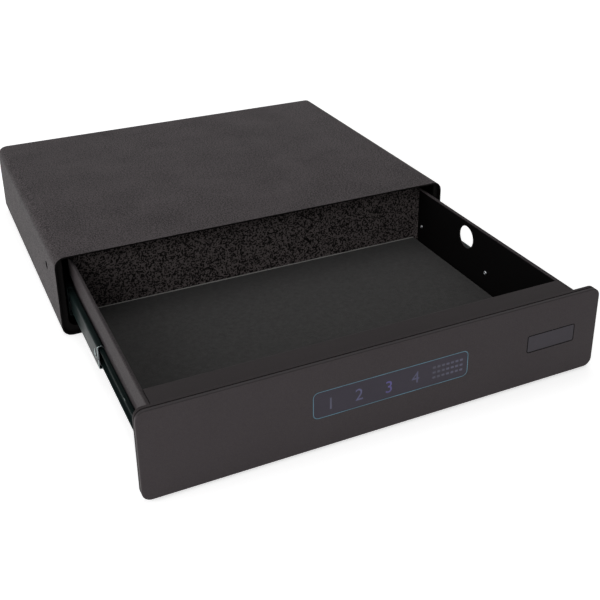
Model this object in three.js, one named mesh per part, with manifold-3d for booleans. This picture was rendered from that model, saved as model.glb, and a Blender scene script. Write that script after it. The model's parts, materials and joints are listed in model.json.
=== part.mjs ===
// An under-bed safe: a folded steel casing with a drawer on ball-bearing slides, shown pulled open.
// Millimetres. X runs along the front, Y from the front to the back and Z up.
// The origin is the middle of the casing's underside.
// Each piece is drawn where it lies with the drawer shut. Groups then carry what moves to the open place.

import * as THREE from 'three';
import { mergeVertices } from 'three/addons/utils/BufferGeometryUtils.js';
import Module from 'manifold-3d';

const wasm = await Module();
wasm.setup();

// Casing
const CASING_WIDTH = 640;
const CASING_DEPTH = 500;
const CASING_HEIGHT = 127;
const CASING_SHEET = 2.5;
const CASING_BEND = 15;
const BACK_SHEET = 2;
const BACK_FLANGE = 20;
const SIDE_HOLE_RADIUS = 6.5;
const SIDE_HOLE_FROM_FRONT = 73;
const SIDE_HOLE_HEIGHT = 84;

// Inner frame behind the front plate, which stops the drawer and takes the bolts
const JAMB_SHEET = 2.5;
const JAMB_WIDTH = 9;
const JAMB_RETURN = 18;
const JAMB_RETURN_SHEET = 1.5;
const JAMB_CLEARANCE = 0.5;
const STRIKE_THICKNESS = 3;
const STRIKE_HEIGHT = 20;

// Front: steel plate, narrow rubber spacer and outer fascia
const PLATE_THICKNESS = 4.5;
const GASKET_THICKNESS = 1;
const GROOVE_DEPTH = 3;
const FASCIA_THICKNESS = 5.5;
const FASCIA_CHAMFER = 0.8;
const FRONT_SIDE_GAP = 2.5;
const FRONT_TOP_GAP = 1.5;
const FRONT_BOTTOM_GAP = 1;
const FRONT_CORNER = 12;

// Touch keypad in the fascia
const KEYPAD_WIDTH = 215;
const KEYPAD_HEIGHT = 36.5;
const KEYPAD_CORNER = 7;
const KEYPAD_CENTRE_X = 3.5;
const KEYPAD_CENTRE_HEIGHT = 65;
const LIGHT_LINE = 1.3;
const LENS_THICKNESS = 2.2;
const LENS_SINK = 0.1;
const BOARD_THICKNESS = 1.6;
const RIBBON_SLOT_WIDTH = 24;
const RIBBON_SLOT_HEIGHT = 5;

// Cover over the emergency lock
const COVER_WIDTH = 75;
const COVER_HEIGHT = 25;
const COVER_THICKNESS = 1.2;
const COVER_SINK = 0.6;
const COVER_CORNER = 2.5;
const COVER_MARGIN = 0.6;
const COVER_FROM_EDGE = 74;
const COVER_CENTRE_HEIGHT = 65;
const COVER_PEG_RADIUS = 1.5;
const COVER_PEG_LENGTH = 2.6;
const COVER_PEG_SPACING = 62;

// Emergency lock
const LOCK_RIM_RADIUS = 11;
const LOCK_BODY_RADIUS = 9.5;
const LOCK_BODY_LENGTH = 26;
const LOCK_PLUG_RADIUS = 6;
const LOCK_NUT_RADIUS = 14;
const LOCK_NUT_THICKNESS = 5;
const LOCK_LEVER_LENGTH = 22;
const LOCK_LEVER_THICKNESS = 2.5;
const KEYWAY_WIDTH = 1.6;
const KEYWAY_HEIGHT = 7;

// Drawer
const DRAWER_SHEET = 1.5;
const DRAWER_UNDERSIDE = 14;
const DRAWER_TOP = 112;
const DRAWER_LENGTH = 414;
const DRAWER_BEND = 2.25;
const RAIL_BEND = 1.5;
const RAIL_WIDTH = 7.4;
const RAIL_HEIGHT = 33;
const HEM_RETURN = 8;
const HEM_GAP = 0.5;
const BACK_TAB = 14;
const MAT_THICKNESS = 4;
const MAT_MARGIN = 0.4;
const WIRE_HOLE_RADIUS = 18;
const WIRE_HOLE_FROM_PLATE = 259.5;
const WIRE_HOLE_HEIGHT = 84;
const WIRE_NOTCH_WIDTH = 84;
const WIRE_NOTCH_TOP = 106;
const DRAWER_OPEN = 385.5;

// Slides
const SLIDE_THICKNESS = 12.75;
const SLIDE_HEIGHT = 45.5;
const SLIDE_SHEET = 1.25;
const SLIDE_LENGTH = 400;
const SLIDE_MIDDLE_LENGTH = 350;
const SLIDE_SETBACK = 14;
const SLIDE_MIDDLE_SETBACK = 28;
const SLIDE_INNER_SETBACK = 4;
const SLIDE_CENTRE_HEIGHT = 47;
const SLIDE_BEND = 1.7;
const BALL_DIAMETER = 4;
const BALL_GAP = 0.05;
const BALLS_PER_ROW = 6;
const CAGE_SHEET = 0.6;
const CAGE_LENGTH = 165;
const SLIDE_HOLE_RADIUS = 3;
const SLIDE_HOLE_SHARES = [0.04, 0.5, 0.96];
const BRACKET_DEPTH = 13.15;
const BRACKET_SHEET = 1.5;
const BRACKET_FACE = 47;
const BRACKET_FLANGE = 7;
const BRACKET_SETBACK = 30;

// Lock: two bolts driven by a pinion between two racks
const BOLT_RADIUS = 6;
const BOLT_HEIGHT = 88;
const BOLT_TRAVEL = 18.5;
const BOLT_LENGTH = 60;
const BOLT_BAR_THICKNESS = 4;
const BOLT_BAR_HEIGHT = 8;
const PINION_TEETH = 12;
const GEAR_MODULE = 1.5;
const PRESSURE_ANGLE = THREE.MathUtils.degToRad(20);
const PINION_ADDENDUM = 1.2;
const RACK_ADDENDUM = 1;
const TOOTH_ROOT = 1.25;
const TOOTH_GAP = 0.2;
const RACK_BACK = 6;
const RACK_TEETH = 8;
const SHAFT_RADIUS = 3;
const GUIDE_WIDTH = 28;
const GUIDE_HEIGHT = 20;

// Lock housing behind the front, and what it holds
const HOUSING_DEPTH = 58;
const HOUSING_SHEET = 1.5;
const CHASSIS_WIDTH = 120;
const CHASSIS_HEIGHT = 24;
const CHASSIS_SHEET = 2;
const CHASSIS_FOOT = 15;
const MOTOR_RADIUS = 12;
const MOTOR_LENGTH = 24;
const CELL_RADIUS = 7.25;
const CELL_LENGTH = 50.5;
const CELL_SPACING = 16;
const TRAY_WALL = 1.5;
const TRAY_CENTRE_X = -136;
const TRAY_RIM = 4;
const DOOR_CENTRE_HEIGHT = 74;
const DOOR_THICKNESS = 2;
const DOOR_MARGIN = 0.4;
const DOOR_BARREL_RADIUS = 2;
const CONTROL_BOARD_WIDTH = 120;
const CONTROL_BOARD_HEIGHT = 44;
const CONTROL_BOARD_CLEARANCE = 15;
const CONTROL_BOARD_LOW = 24;
const STANDOFF_RADIUS = 3;
const STANDOFF_LENGTH = 22;

// Clearances
const SEAT_GAP = 0.1;
const RUNNING_GAP = 0.1;

// Places that follow from the sizes above
const FRONT = -CASING_DEPTH / 2;
const BACK = CASING_DEPTH / 2;
const INNER_HALF = CASING_WIDTH / 2 - CASING_SHEET;
const INNER_TOP = CASING_HEIGHT - CASING_SHEET;
const INNER_BEND = CASING_BEND - CASING_SHEET;
const PLATE_REAR = FRONT + PLATE_THICKNESS;
const FASCIA_REAR = FRONT - GASKET_THICKNESS;
const FASCIA_FRONT = FASCIA_REAR - FASCIA_THICKNESS;
const PANEL_HALF = INNER_HALF - FRONT_SIDE_GAP;
const PANEL_LOW = CASING_SHEET + FRONT_BOTTOM_GAP;
const PANEL_HIGH = INNER_TOP - FRONT_TOP_GAP;
const COVER_CENTRE_X = PANEL_HALF - COVER_FROM_EDGE;
const CONTROL_BOARD_RIGHT = COVER_CENTRE_X - LOCK_LEVER_LENGTH - CONTROL_BOARD_CLEARANCE;
const JAMB_FRONT = PLATE_REAR + JAMB_CLEARANCE;
const JAMB_REAR = JAMB_FRONT + JAMB_SHEET;
const JAMB_EDGE = INNER_HALF - JAMB_WIDTH;
const STRIKE_REAR = JAMB_REAR + SEAT_GAP + STRIKE_THICKNESS;
const SLIDE_FACE = INNER_HALF - BRACKET_DEPTH;
const PAN_HALF = SLIDE_FACE - SLIDE_THICKNESS - SEAT_GAP;
const PAN_INNER = PAN_HALF - DRAWER_SHEET;
const RAIL_HALF = PAN_INNER + RAIL_WIDTH;
const PAN_FRONT = PLATE_REAR + SEAT_GAP;
const PAN_BACK = PLATE_REAR + DRAWER_LENGTH;
const PAN_FLOOR = DRAWER_UNDERSIDE + DRAWER_SHEET;
const HOUSING_REAR = FASCIA_FRONT + HOUSING_DEPTH;
const HOUSING_INNER_REAR = HOUSING_REAR - HOUSING_SHEET;
const SLIDE_OUTER_FROM = FRONT + SLIDE_SETBACK;
const SLIDE_MIDDLE_FROM = SLIDE_OUTER_FROM + SLIDE_MIDDLE_SETBACK;
const SLIDE_INNER_FROM = PLATE_REAR + SLIDE_INNER_SETBACK;
const OUTER_RACE = SLIDE_HEIGHT / 2 - SLIDE_SHEET;
const MIDDLE_HALF = OUTER_RACE - BALL_DIAMETER - 2 * BALL_GAP;
const MIDDLE_RACE = MIDDLE_HALF - SLIDE_SHEET;
const INNER_MEMBER_HALF = MIDDLE_RACE - BALL_DIAMETER - 2 * BALL_GAP;
const BOLT_Y = STRIKE_REAR + JAMB_CLEARANCE + BOLT_RADIUS;
const PITCH_RADIUS = (GEAR_MODULE * PINION_TEETH) / 2;
const TOOTH_PITCH = Math.PI * GEAR_MODULE;
const CHASSIS_FRONT = BOLT_Y + 5;
const CHASSIS_REAR = CHASSIS_FRONT + CHASSIS_SHEET;
const TRAY_INNER_WIDTH = 2 * CELL_LENGTH + 2;
const TRAY_INNER_HEIGHT = CELL_SPACING + 2 * CELL_RADIUS + 1.5;
const TRAY_RIM_REAR = HOUSING_INNER_REAR - SEAT_GAP;
const DOOR_WIDTH = TRAY_INNER_WIDTH + TRAY_RIM;
const DOOR_HEIGHT = TRAY_INNER_HEIGHT + TRAY_RIM;

// Finishes
const CASING_PAINT = { color: 0x454143, roughness: 0.55, metalness: 0.1 };
const FASCIA_PAINT = { color: 0x413d3e, roughness: 0.5, metalness: 0.1 };
const DRAWER_PAINT = { color: 0x2c2929, roughness: 0.6, metalness: 0.1 };
const ZINC = { color: 0x8d9496, roughness: 0.35, metalness: 0.9 };
const BRIGHT_STEEL = { color: 0xb9bcc0, roughness: 0.3, metalness: 0.95 };
const BLACK_PLASTIC = { color: 0x141416, roughness: 0.5, metalness: 0 };
const BLACK_ACRYLIC = { color: 0x2b2a31, roughness: 0.2, metalness: 0 };
const LIGHT_GUIDE = { color: 0x9fb4e6, roughness: 0.3, metalness: 0 };
const RUBBER = { color: 0x1b1b1c, roughness: 0.85, metalness: 0 };
const FELT = { color: 0x2f2e2d, roughness: 0.95, metalness: 0 };
const BOARD_GREEN = { color: 0x1f4a34, roughness: 0.6, metalness: 0 };
const BRASS = { color: 0xb08d4a, roughness: 0.35, metalness: 0.9 };
const CELL_WRAP = { color: 0x5a5f66, roughness: 0.4, metalness: 0.4 };

// Solids and meshes

/** A closed geometry as a solid that can be cut and joined. */
function toSolid(geometry) {
  const bare = new THREE.BufferGeometry();
  const source = geometry.index ? geometry.toNonIndexed() : geometry;
  bare.setAttribute('position', source.getAttribute('position'));
  const merged = mergeVertices(bare, 1e-4);
  return new wasm.Manifold(new wasm.Mesh({
    numProp: 3,
    vertProperties: Float32Array.from(merged.attributes.position.array),
    triVerts: Uint32Array.from(merged.index.array),
  }));
}

/** A solid as a flat-shaded geometry. */
function toGeometry(solid) {
  const mesh = solid.getMesh();
  const geometry = new THREE.BufferGeometry();
  geometry.setAttribute('position', new THREE.BufferAttribute(mesh.vertProperties, 3));
  geometry.setIndex(new THREE.BufferAttribute(mesh.triVerts, 1));
  const flat = geometry.toNonIndexed();
  flat.computeVertexNormals();
  return flat;
}

/** Joins several solids that run into each other. */
function join(...solids) {
  return solids.reduce((whole, next) => whole.add(next));
}

/** Cuts several solids out of one. */
function cut(solid, ...tools) {
  return tools.reduce((whole, tool) => whole.subtract(tool), solid);
}

/** Adds one named piece to a group; side -1 mirrors a right-hand piece to the left. */
function addPiece(group, name, solid, finish, side = 1) {
  const mesh = new THREE.Mesh(toGeometry(solid), new THREE.MeshStandardMaterial(finish));
  mesh.name = name;
  mesh.scale.x = side;
  group.add(mesh);
  return mesh;
}

// Outlines

/** Points of a rectangle with round corners, anticlockwise. */
function roundedRectangle(left, low, right, high, radius, steps = 4) {
  const corners = [
    [right - radius, low + radius, -90],
    [right - radius, high - radius, 0],
    [left + radius, high - radius, 90],
    [left + radius, low + radius, 180],
  ];
  const points = [];
  for (const [x, y, start] of corners) {
    for (let step = 0; step <= steps; step++) {
      const angle = THREE.MathUtils.degToRad(start + (90 * step) / steps);
      points.push(new THREE.Vector2(x + radius * Math.cos(angle), y + radius * Math.sin(angle)));
    }
  }
  return points;
}

/** Points of a circle, with a flat side on each of its four directions where sides divides by four. */
function circle(x, y, radius, sides = 24) {
  const points = [];
  for (let i = 0; i < sides; i++) {
    const angle = (2 * Math.PI * (i + 0.5)) / sides;
    points.push(new THREE.Vector2(x + radius * Math.cos(angle), y + radius * Math.sin(angle)));
  }
  return points;
}

/**
 * Outline of a folded sheet seen from its edge. Each point of the middle line is [x, y, bend radius];
 * the sheet lies half its thickness to each side of that line.
 */
function foldedSheet(middle, thickness, steps = 3) {
  const left = [];
  const right = [];
  const half = thickness / 2;
  const add = (point, normal) => {
    const last = left[left.length - 1];
    const next = point.clone().addScaledVector(normal, half);
    if (last && last.distanceTo(next) < 1e-6) return;
    left.push(next);
    right.push(point.clone().addScaledVector(normal, -half));
  };
  const points = middle.map(([x, y]) => new THREE.Vector2(x, y));
  const direction = (i) => points[i + 1].clone().sub(points[i]).normalize();
  const leftOf = (d) => new THREE.Vector2(-d.y, d.x);
  add(points[0], leftOf(direction(0)));
  for (let i = 1; i < points.length - 1; i++) {
    const before = direction(i - 1);
    const after = direction(i);
    const turn = Math.atan2(before.cross(after), before.dot(after));
    const radius = middle[i][2];
    const side = Math.sign(turn);
    const reach = radius * Math.tan(Math.abs(turn) / 2);
    const start = points[i].clone().addScaledVector(before, -reach);
    const centre = start.clone().addScaledVector(leftOf(before), radius * side);
    for (let step = 0; step <= steps; step++) {
      const normal = leftOf(before).rotateAround(new THREE.Vector2(), (turn * step) / steps);
      add(centre.clone().addScaledVector(normal, -radius * side), normal);
    }
  }
  add(points[points.length - 1], leftOf(direction(points.length - 2)));
  return [...left, ...right.reverse()];
}

// Extrusions, each from an outline in the plane across it

/** A shape of an outline with holes, pulled along its own third axis. */
function pulled(outline, length, holes) {
  const shape = new THREE.Shape(outline);
  shape.holes = holes.map((hole) => new THREE.Path(hole));
  return new THREE.ExtrudeGeometry(shape, { depth: length, bevelEnabled: false });
}

/** An outline in X and Z, pulled from front to back. */
function alongY(outline, from, to, holes = []) {
  const geometry = pulled(outline, to - from, holes);
  geometry.rotateX(Math.PI / 2).translate(0, to, 0);
  return toSolid(geometry);
}

/** An outline in Y and Z, pulled from left to right. */
function alongX(outline, from, to, holes = []) {
  const geometry = pulled(outline, to - from, holes);
  const turn = new THREE.Matrix4().makeBasis(
    new THREE.Vector3(0, 1, 0),
    new THREE.Vector3(0, 0, 1),
    new THREE.Vector3(1, 0, 0),
  );
  geometry.applyMatrix4(turn).translate(from, 0, 0);
  return toSolid(geometry);
}

/** An outline in X and Y, pulled upwards. */
function alongZ(outline, from, to, holes = []) {
  const geometry = pulled(outline, to - from, holes);
  geometry.translate(0, 0, from);
  return toSolid(geometry);
}

/** A plain block between two corners. */
function block(x0, y0, z0, x1, y1, z1) {
  const geometry = new THREE.BoxGeometry(x1 - x0, y1 - y0, z1 - z0);
  geometry.translate((x0 + x1) / 2, (y0 + y1) / 2, (z0 + z1) / 2);
  return toSolid(geometry);
}

/** A round bar along Y at a given X and height. */
function barAlongY(x, z, radius, from, to, sides = 24) {
  return alongY(circle(x, z, radius, sides), from, to);
}

/** A round bar along X at a given Y and height. */
function barAlongX(y, z, radius, from, to, sides = 24) {
  return alongX(circle(y, z, radius, sides), from, to);
}

/** A turned solid about an axis along Y; the profile lists [radius, y] and closes on itself. */
function turnedAboutY(profile, x, z, sides = 24) {
  const points = [...profile, profile[0]].map(([radius, y]) => new THREE.Vector2(radius, y));
  const geometry = new THREE.LatheGeometry(points, sides);
  geometry.translate(x, 0, z);
  return toSolid(geometry);
}

// Casing

/** Inner outline of the casing, drawn in by a margin. */
function openingOutline(margin) {
  return roundedRectangle(
    -INNER_HALF + margin, CASING_SHEET + margin,
    INNER_HALF - margin, INNER_TOP - margin,
    Math.max(INNER_BEND - margin, 0.5),
  );
}

/** The sheet wrapped round top, sides and bottom, open at the front, with a hole in the left side. */
function casingWrap() {
  const half = CASING_WIDTH / 2;
  const outer = roundedRectangle(-half, 0, half, CASING_HEIGHT, CASING_BEND);
  const wrap = alongY(outer, FRONT, BACK, [openingOutline(0)]);
  const hole = barAlongX(
    FRONT + SIDE_HOLE_FROM_FRONT, SIDE_HOLE_HEIGHT, SIDE_HOLE_RADIUS,
    -half - 1, -INNER_HALF + 1, 16,
  );
  return cut(wrap, hole);
}

/** The rear wall: a plate with a flange turned forwards all round. */
function casingBack() {
  const outline = openingOutline(SEAT_GAP);
  const plate = alongY(outline, BACK - BACK_SHEET, BACK);
  const flange = alongY(outline, BACK - BACK_FLANGE, BACK, [openingOutline(SEAT_GAP + BACK_SHEET)]);
  return join(plate, flange);
}

/** A frame that follows both sides and the bottom of the opening. */
function threeSidedFrame(width, from, to) {
  const whole = alongY(openingOutline(SEAT_GAP), from, to);
  const inside = INNER_HALF - width;
  const low = CASING_SHEET + width;
  const opening = roundedRectangle(-inside, low, inside, 2 * CASING_HEIGHT, INNER_BEND);
  return cut(whole, alongY(opening, from - 1, to + 1));
}

/** The inner frame that the front plate closes on. */
function casingJamb() {
  const face = threeSidedFrame(JAMB_WIDTH, JAMB_FRONT, JAMB_REAR);
  const leg = threeSidedFrame(JAMB_RETURN_SHEET + SEAT_GAP, JAMB_FRONT, JAMB_FRONT + JAMB_RETURN);
  return join(face, leg);
}

/** A hardened plate behind the right-hand jamb, where the bolt bears. */
function strike() {
  const low = BOLT_HEIGHT - STRIKE_HEIGHT / 2;
  const leg = INNER_HALF - SEAT_GAP - JAMB_RETURN_SHEET;
  return block(JAMB_EDGE + 0.5, JAMB_REAR + SEAT_GAP, low, leg - SEAT_GAP, STRIKE_REAR, low + STRIKE_HEIGHT);
}

/** The hat-shaped rail on the right-hand casing wall that carries a slide. */
function slideBracket() {
  const face = SLIDE_FACE + SEAT_GAP + BRACKET_SHEET / 2;
  const wall = INNER_HALF - SEAT_GAP - BRACKET_SHEET / 2;
  const high = BRACKET_FACE / 2;
  const end = high + BRACKET_FLANGE;
  const z = SLIDE_CENTRE_HEIGHT;
  const middle = [
    [wall, z - end], [wall, z - high, 1], [face, z - high, 1],
    [face, z + high, 1], [wall, z + high, 1], [wall, z + end],
  ];
  const from = FRONT + BRACKET_SETBACK;
  return alongY(foldedSheet(middle, BRACKET_SHEET), from, SLIDE_OUTER_FROM + SLIDE_LENGTH);
}

// Slides: u is the distance from the slide's casing face, v the height above its centre

/** A right-hand slide section from its middle line in u and v. */
function slideSection(line, sheet, from, to) {
  const middle = line.map(([u, v, bend]) => [SLIDE_FACE - u, SLIDE_CENTRE_HEIGHT + v, bend]);
  return alongY(foldedSheet(middle, sheet), from, to);
}

/** A channel with lips that turn in over its balls. */
function lippedChannel(webU, lipU, half, lipEnd) {
  return [
    [lipU, -lipEnd], [lipU, -half, SLIDE_BEND], [webU, -half, SLIDE_BEND],
    [webU, half, SLIDE_BEND], [lipU, half, SLIDE_BEND], [lipU, lipEnd],
  ];
}

/** A plain channel without lips. */
function plainChannel(webU, edgeU, half, bend) {
  return [[edgeU, -half], [webU, -half, bend], [webU, half, bend], [edgeU, half]];
}

const OUTER_BALL_V = OUTER_RACE - BALL_GAP - BALL_DIAMETER / 2;
const INNER_BALL_V = MIDDLE_RACE - BALL_GAP - BALL_DIAMETER / 2;
const OUTER_LIP_U = 8.6;
const MIDDLE_WEB_U = 3.525;
const MIDDLE_LIP_U = SLIDE_THICKNESS - 1.85;
const INNER_EDGE_U = 6.2;
const OUTER_CAGE_U = (SLIDE_SHEET + MIDDLE_WEB_U - SLIDE_SHEET / 2) / 2;
const INNER_CAGE_U = (MIDDLE_WEB_U + SLIDE_SHEET / 2 + INNER_EDGE_U) / 2;
const OUTER_BALL_U = OUTER_LIP_U - SLIDE_SHEET / 2 - 0.35 - BALL_DIAMETER / 2;
const INNER_BALL_U = MIDDLE_LIP_U - SLIDE_SHEET / 2 - 0.35 - BALL_DIAMETER / 2;

/** Round holes for screws through the web of a right-hand slide member. */
function slideHoles(radius, from, length) {
  return SLIDE_HOLE_SHARES.map((share) => barAlongX(
    from + share * length, SLIDE_CENTRE_HEIGHT, radius,
    SLIDE_FACE - SLIDE_THICKNESS - 1, SLIDE_FACE + 1, 12,
  ));
}

/** The member screwed to the casing's bracket. */
function slideOuter() {
  const line = lippedChannel(
    SLIDE_SHEET / 2, OUTER_LIP_U, SLIDE_HEIGHT / 2 - SLIDE_SHEET / 2, OUTER_BALL_V,
  );
  const section = slideSection(line, SLIDE_SHEET, SLIDE_OUTER_FROM, SLIDE_OUTER_FROM + SLIDE_LENGTH);
  return cut(section, ...slideHoles(SLIDE_HOLE_RADIUS, SLIDE_OUTER_FROM, SLIDE_LENGTH));
}

/** The member between the two others, which travels half as far as the drawer. */
function slideMiddle() {
  const line = lippedChannel(
    MIDDLE_WEB_U, MIDDLE_LIP_U, MIDDLE_HALF - SLIDE_SHEET / 2, INNER_BALL_V + 0.3,
  );
  const section = slideSection(line, SLIDE_SHEET, SLIDE_MIDDLE_FROM, SLIDE_MIDDLE_FROM + SLIDE_MIDDLE_LENGTH);
  return cut(section, ...slideHoles(2 * SLIDE_HOLE_RADIUS, SLIDE_MIDDLE_FROM, SLIDE_MIDDLE_LENGTH));
}

/** The member screwed to the drawer's wall. */
function slideInner() {
  const line = plainChannel(
    SLIDE_THICKNESS - SLIDE_SHEET / 2, INNER_EDGE_U, INNER_MEMBER_HALF - SLIDE_SHEET / 2, SLIDE_BEND,
  );
  const section = slideSection(line, SLIDE_SHEET, SLIDE_INNER_FROM, SLIDE_INNER_FROM + SLIDE_LENGTH);
  return cut(section, ...slideHoles(SLIDE_HOLE_RADIUS, SLIDE_INNER_FROM, SLIDE_LENGTH));
}

/** Where a cage starts in its own group, so that it lies amid its members' overlap with the drawer open. */
function cageStart(overlapFrom, overlapTo, share) {
  return (overlapFrom + overlapTo - CAGE_LENGTH) / 2 + DRAWER_OPEN * share;
}

/** A ball cage: a thin channel with its balls snapped into both edges. */
function ballCage(webU, ballU, ballV, from) {
  const edge = ballU + BALL_DIAMETER / 2 - 0.2;
  const strip = slideSection(plainChannel(webU, edge, ballV, 1), CAGE_SHEET, from, from + CAGE_LENGTH);
  const pitch = CAGE_LENGTH / BALLS_PER_ROW;
  const balls = [];
  for (let i = 0; i < BALLS_PER_ROW; i++) {
    for (const v of [-ballV, ballV]) {
      const ball = new THREE.SphereGeometry(BALL_DIAMETER / 2, 8, 4);
      ball.translate(SLIDE_FACE - ballU, from + (i + 0.5) * pitch, SLIDE_CENTRE_HEIGHT + v);
      balls.push(toSolid(ball));
    }
  }
  return join(strip, ...balls);
}

// Drawer

/** Floor and walls in one folded sheet, with box rails, bolt holes, and a wire hole beside a notched rail. */
function drawerPan() {
  const wall = PAN_HALF - DRAWER_SHEET / 2;
  const rail = RAIL_HALF - DRAWER_SHEET / 2;
  const top = DRAWER_TOP - DRAWER_SHEET / 2;
  const floor = DRAWER_UNDERSIDE + DRAWER_SHEET / 2;
  const railLow = DRAWER_TOP - RAIL_HEIGHT + DRAWER_SHEET / 2;
  const railEnd = PAN_HALF + HEM_GAP;
  const middle = [
    [-railEnd, railLow], [-rail, railLow, RAIL_BEND], [-rail, top, RAIL_BEND], [-wall, top, RAIL_BEND],
    [-wall, floor, DRAWER_BEND], [wall, floor, DRAWER_BEND],
    [wall, top, RAIL_BEND], [rail, top, RAIL_BEND], [rail, railLow, RAIL_BEND], [railEnd, railLow],
  ];
  const sheet = alongY(foldedSheet(middle, DRAWER_SHEET), PAN_FRONT, PAN_BACK);
  const boltHole = barAlongX(BOLT_Y, BOLT_HEIGHT, BOLT_RADIUS + 0.6, -RAIL_HALF - 1, RAIL_HALF + 1);
  const wireHoleY = PLATE_REAR + WIRE_HOLE_FROM_PLATE;
  const wireHole = barAlongX(wireHoleY, WIRE_HOLE_HEIGHT, WIRE_HOLE_RADIUS, PAN_INNER - 1, PAN_HALF + 1, 32);
  const wireNotch = block(
    PAN_HALF + HEM_GAP / 2, wireHoleY - WIRE_NOTCH_WIDTH / 2, DRAWER_TOP - RAIL_HEIGHT - 1,
    RAIL_HALF + 1, wireHoleY + WIRE_NOTCH_WIDTH / 2, WIRE_NOTCH_TOP,
  );
  return cut(sheet, boltHole, wireHole, wireNotch);
}

/** The drawer's rear wall, with side tabs turned forwards and a hem along its top. */
function drawerBack() {
  const half = PAN_INNER - SEAT_GAP;
  const face = PAN_BACK - DRAWER_SHEET / 2;
  const tab = half - DRAWER_SHEET / 2;
  const low = PAN_FLOOR + DRAWER_BEND;
  const tabs = [
    [-tab, face - BACK_TAB], [-tab, face, DRAWER_BEND], [tab, face, DRAWER_BEND], [tab, face - BACK_TAB],
  ];
  const lower = alongZ(foldedSheet(tabs, DRAWER_SHEET), low, DRAWER_TOP - DRAWER_SHEET);
  const hemBend = (DRAWER_SHEET + HEM_GAP) / 2;
  const top = DRAWER_TOP - DRAWER_SHEET / 2;
  const hem = [
    [face, DRAWER_TOP - 2 * HEM_RETURN], [face, top, hemBend], [face - 2 * hemBend, top, hemBend],
    [face - 2 * hemBend, DRAWER_TOP - HEM_RETURN],
  ];
  const between = tab - DRAWER_BEND - 0.5;
  return join(lower, alongX(foldedSheet(hem, DRAWER_SHEET, 4), -between, between));
}

/** The liner on the drawer's floor. */
function drawerMat() {
  const half = PAN_INNER - MAT_MARGIN - DRAWER_BEND;
  const from = HOUSING_REAR + MAT_MARGIN;
  const to = PAN_BACK - DRAWER_SHEET - HEM_GAP - DRAWER_SHEET;
  const outline = roundedRectangle(-half, from, half, to, 3);
  return alongZ(outline, PAN_FLOOR + SEAT_GAP, PAN_FLOOR + SEAT_GAP + MAT_THICKNESS);
}

// Front

/** Outline of the front, drawn in by a margin. */
function frontOutline(margin) {
  return roundedRectangle(
    -PANEL_HALF + margin, PANEL_LOW + margin,
    PANEL_HALF - margin, PANEL_HIGH - margin,
    FRONT_CORNER - margin, 8,
  );
}

/** Outline of the keypad, let out by a margin. */
function keypadOutline(margin) {
  const halfWidth = KEYPAD_WIDTH / 2 + margin;
  const halfHeight = KEYPAD_HEIGHT / 2 + margin;
  return roundedRectangle(
    KEYPAD_CENTRE_X - halfWidth, KEYPAD_CENTRE_HEIGHT - halfHeight,
    KEYPAD_CENTRE_X + halfWidth, KEYPAD_CENTRE_HEIGHT + halfHeight,
    KEYPAD_CORNER + margin, 6,
  );
}

/** Outline of the lock cover, let out by a margin. */
function coverOutline(margin) {
  const halfWidth = COVER_WIDTH / 2 + margin;
  const halfHeight = COVER_HEIGHT / 2 + margin;
  return roundedRectangle(
    COVER_CENTRE_X - halfWidth, COVER_CENTRE_HEIGHT - halfHeight,
    COVER_CENTRE_X + halfWidth, COVER_CENTRE_HEIGHT + halfHeight,
    COVER_CORNER + margin,
  );
}

/** A round hole of a radius at the emergency lock. */
function lockHole(radius) {
  return circle(COVER_CENTRE_X, COVER_CENTRE_HEIGHT, radius);
}

/** The steel plate that closes the casing. */
function frontPlate() {
  const slotHalf = RIBBON_SLOT_WIDTH / 2;
  const slot = roundedRectangle(
    KEYPAD_CENTRE_X - slotHalf, KEYPAD_CENTRE_HEIGHT - RIBBON_SLOT_HEIGHT / 2,
    KEYPAD_CENTRE_X + slotHalf, KEYPAD_CENTRE_HEIGHT + RIBBON_SLOT_HEIGHT / 2, 1,
  );
  return alongY(frontOutline(0), FRONT, PLATE_REAR, [slot, lockHole(LOCK_BODY_RADIUS + RUNNING_GAP)]);
}

const WINDOW_MARGIN = LIGHT_LINE / 2 + SEAT_GAP;

/** The rubber spacer whose set-back edge leaves the groove round the front. */
function frontGasket() {
  const holes = [keypadOutline(WINDOW_MARGIN), lockHole(LOCK_RIM_RADIUS + RUNNING_GAP)];
  return alongY(frontOutline(GROOVE_DEPTH), FASCIA_REAR + SEAT_GAP, FRONT - SEAT_GAP, holes);
}

/** The outer fascia, with chamfered edges, the keypad window and the recess for the lock cover. */
function frontFascia() {
  const sheet = new THREE.ExtrudeGeometry(new THREE.Shape(frontOutline(FASCIA_CHAMFER)), {
    depth: FASCIA_THICKNESS - 2 * FASCIA_CHAMFER,
    bevelEnabled: true,
    bevelThickness: FASCIA_CHAMFER,
    bevelSize: FASCIA_CHAMFER,
    bevelSegments: 1,
  });
  sheet.rotateX(Math.PI / 2).translate(0, FASCIA_REAR - FASCIA_CHAMFER, 0);
  const keypadWindow = alongY(keypadOutline(WINDOW_MARGIN), FASCIA_FRONT - 1, FASCIA_REAR + 1);
  const floor = FASCIA_FRONT + COVER_SINK + COVER_THICKNESS + SEAT_GAP;
  const recess = alongY(coverOutline(COVER_MARGIN), FASCIA_FRONT - 1, floor);
  const rimHole = alongY(lockHole(LOCK_RIM_RADIUS + RUNNING_GAP), floor - 1, FASCIA_REAR + 1);
  const pegHoles = coverPegs(
    COVER_PEG_RADIUS + RUNNING_GAP, floor - 1, floor + COVER_PEG_LENGTH + SEAT_GAP,
  );
  return cut(toSolid(sheet), keypadWindow, recess, rimHole, ...pegHoles);
}

/** The light guide that draws the keypad's outline. */
function keypadLightGuide() {
  const line = LIGHT_LINE / 2;
  return alongY(
    keypadOutline(line), FASCIA_FRONT, FRONT - SEAT_GAP - BOARD_THICKNESS - SEAT_GAP,
    [keypadOutline(-line)],
  );
}

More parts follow.
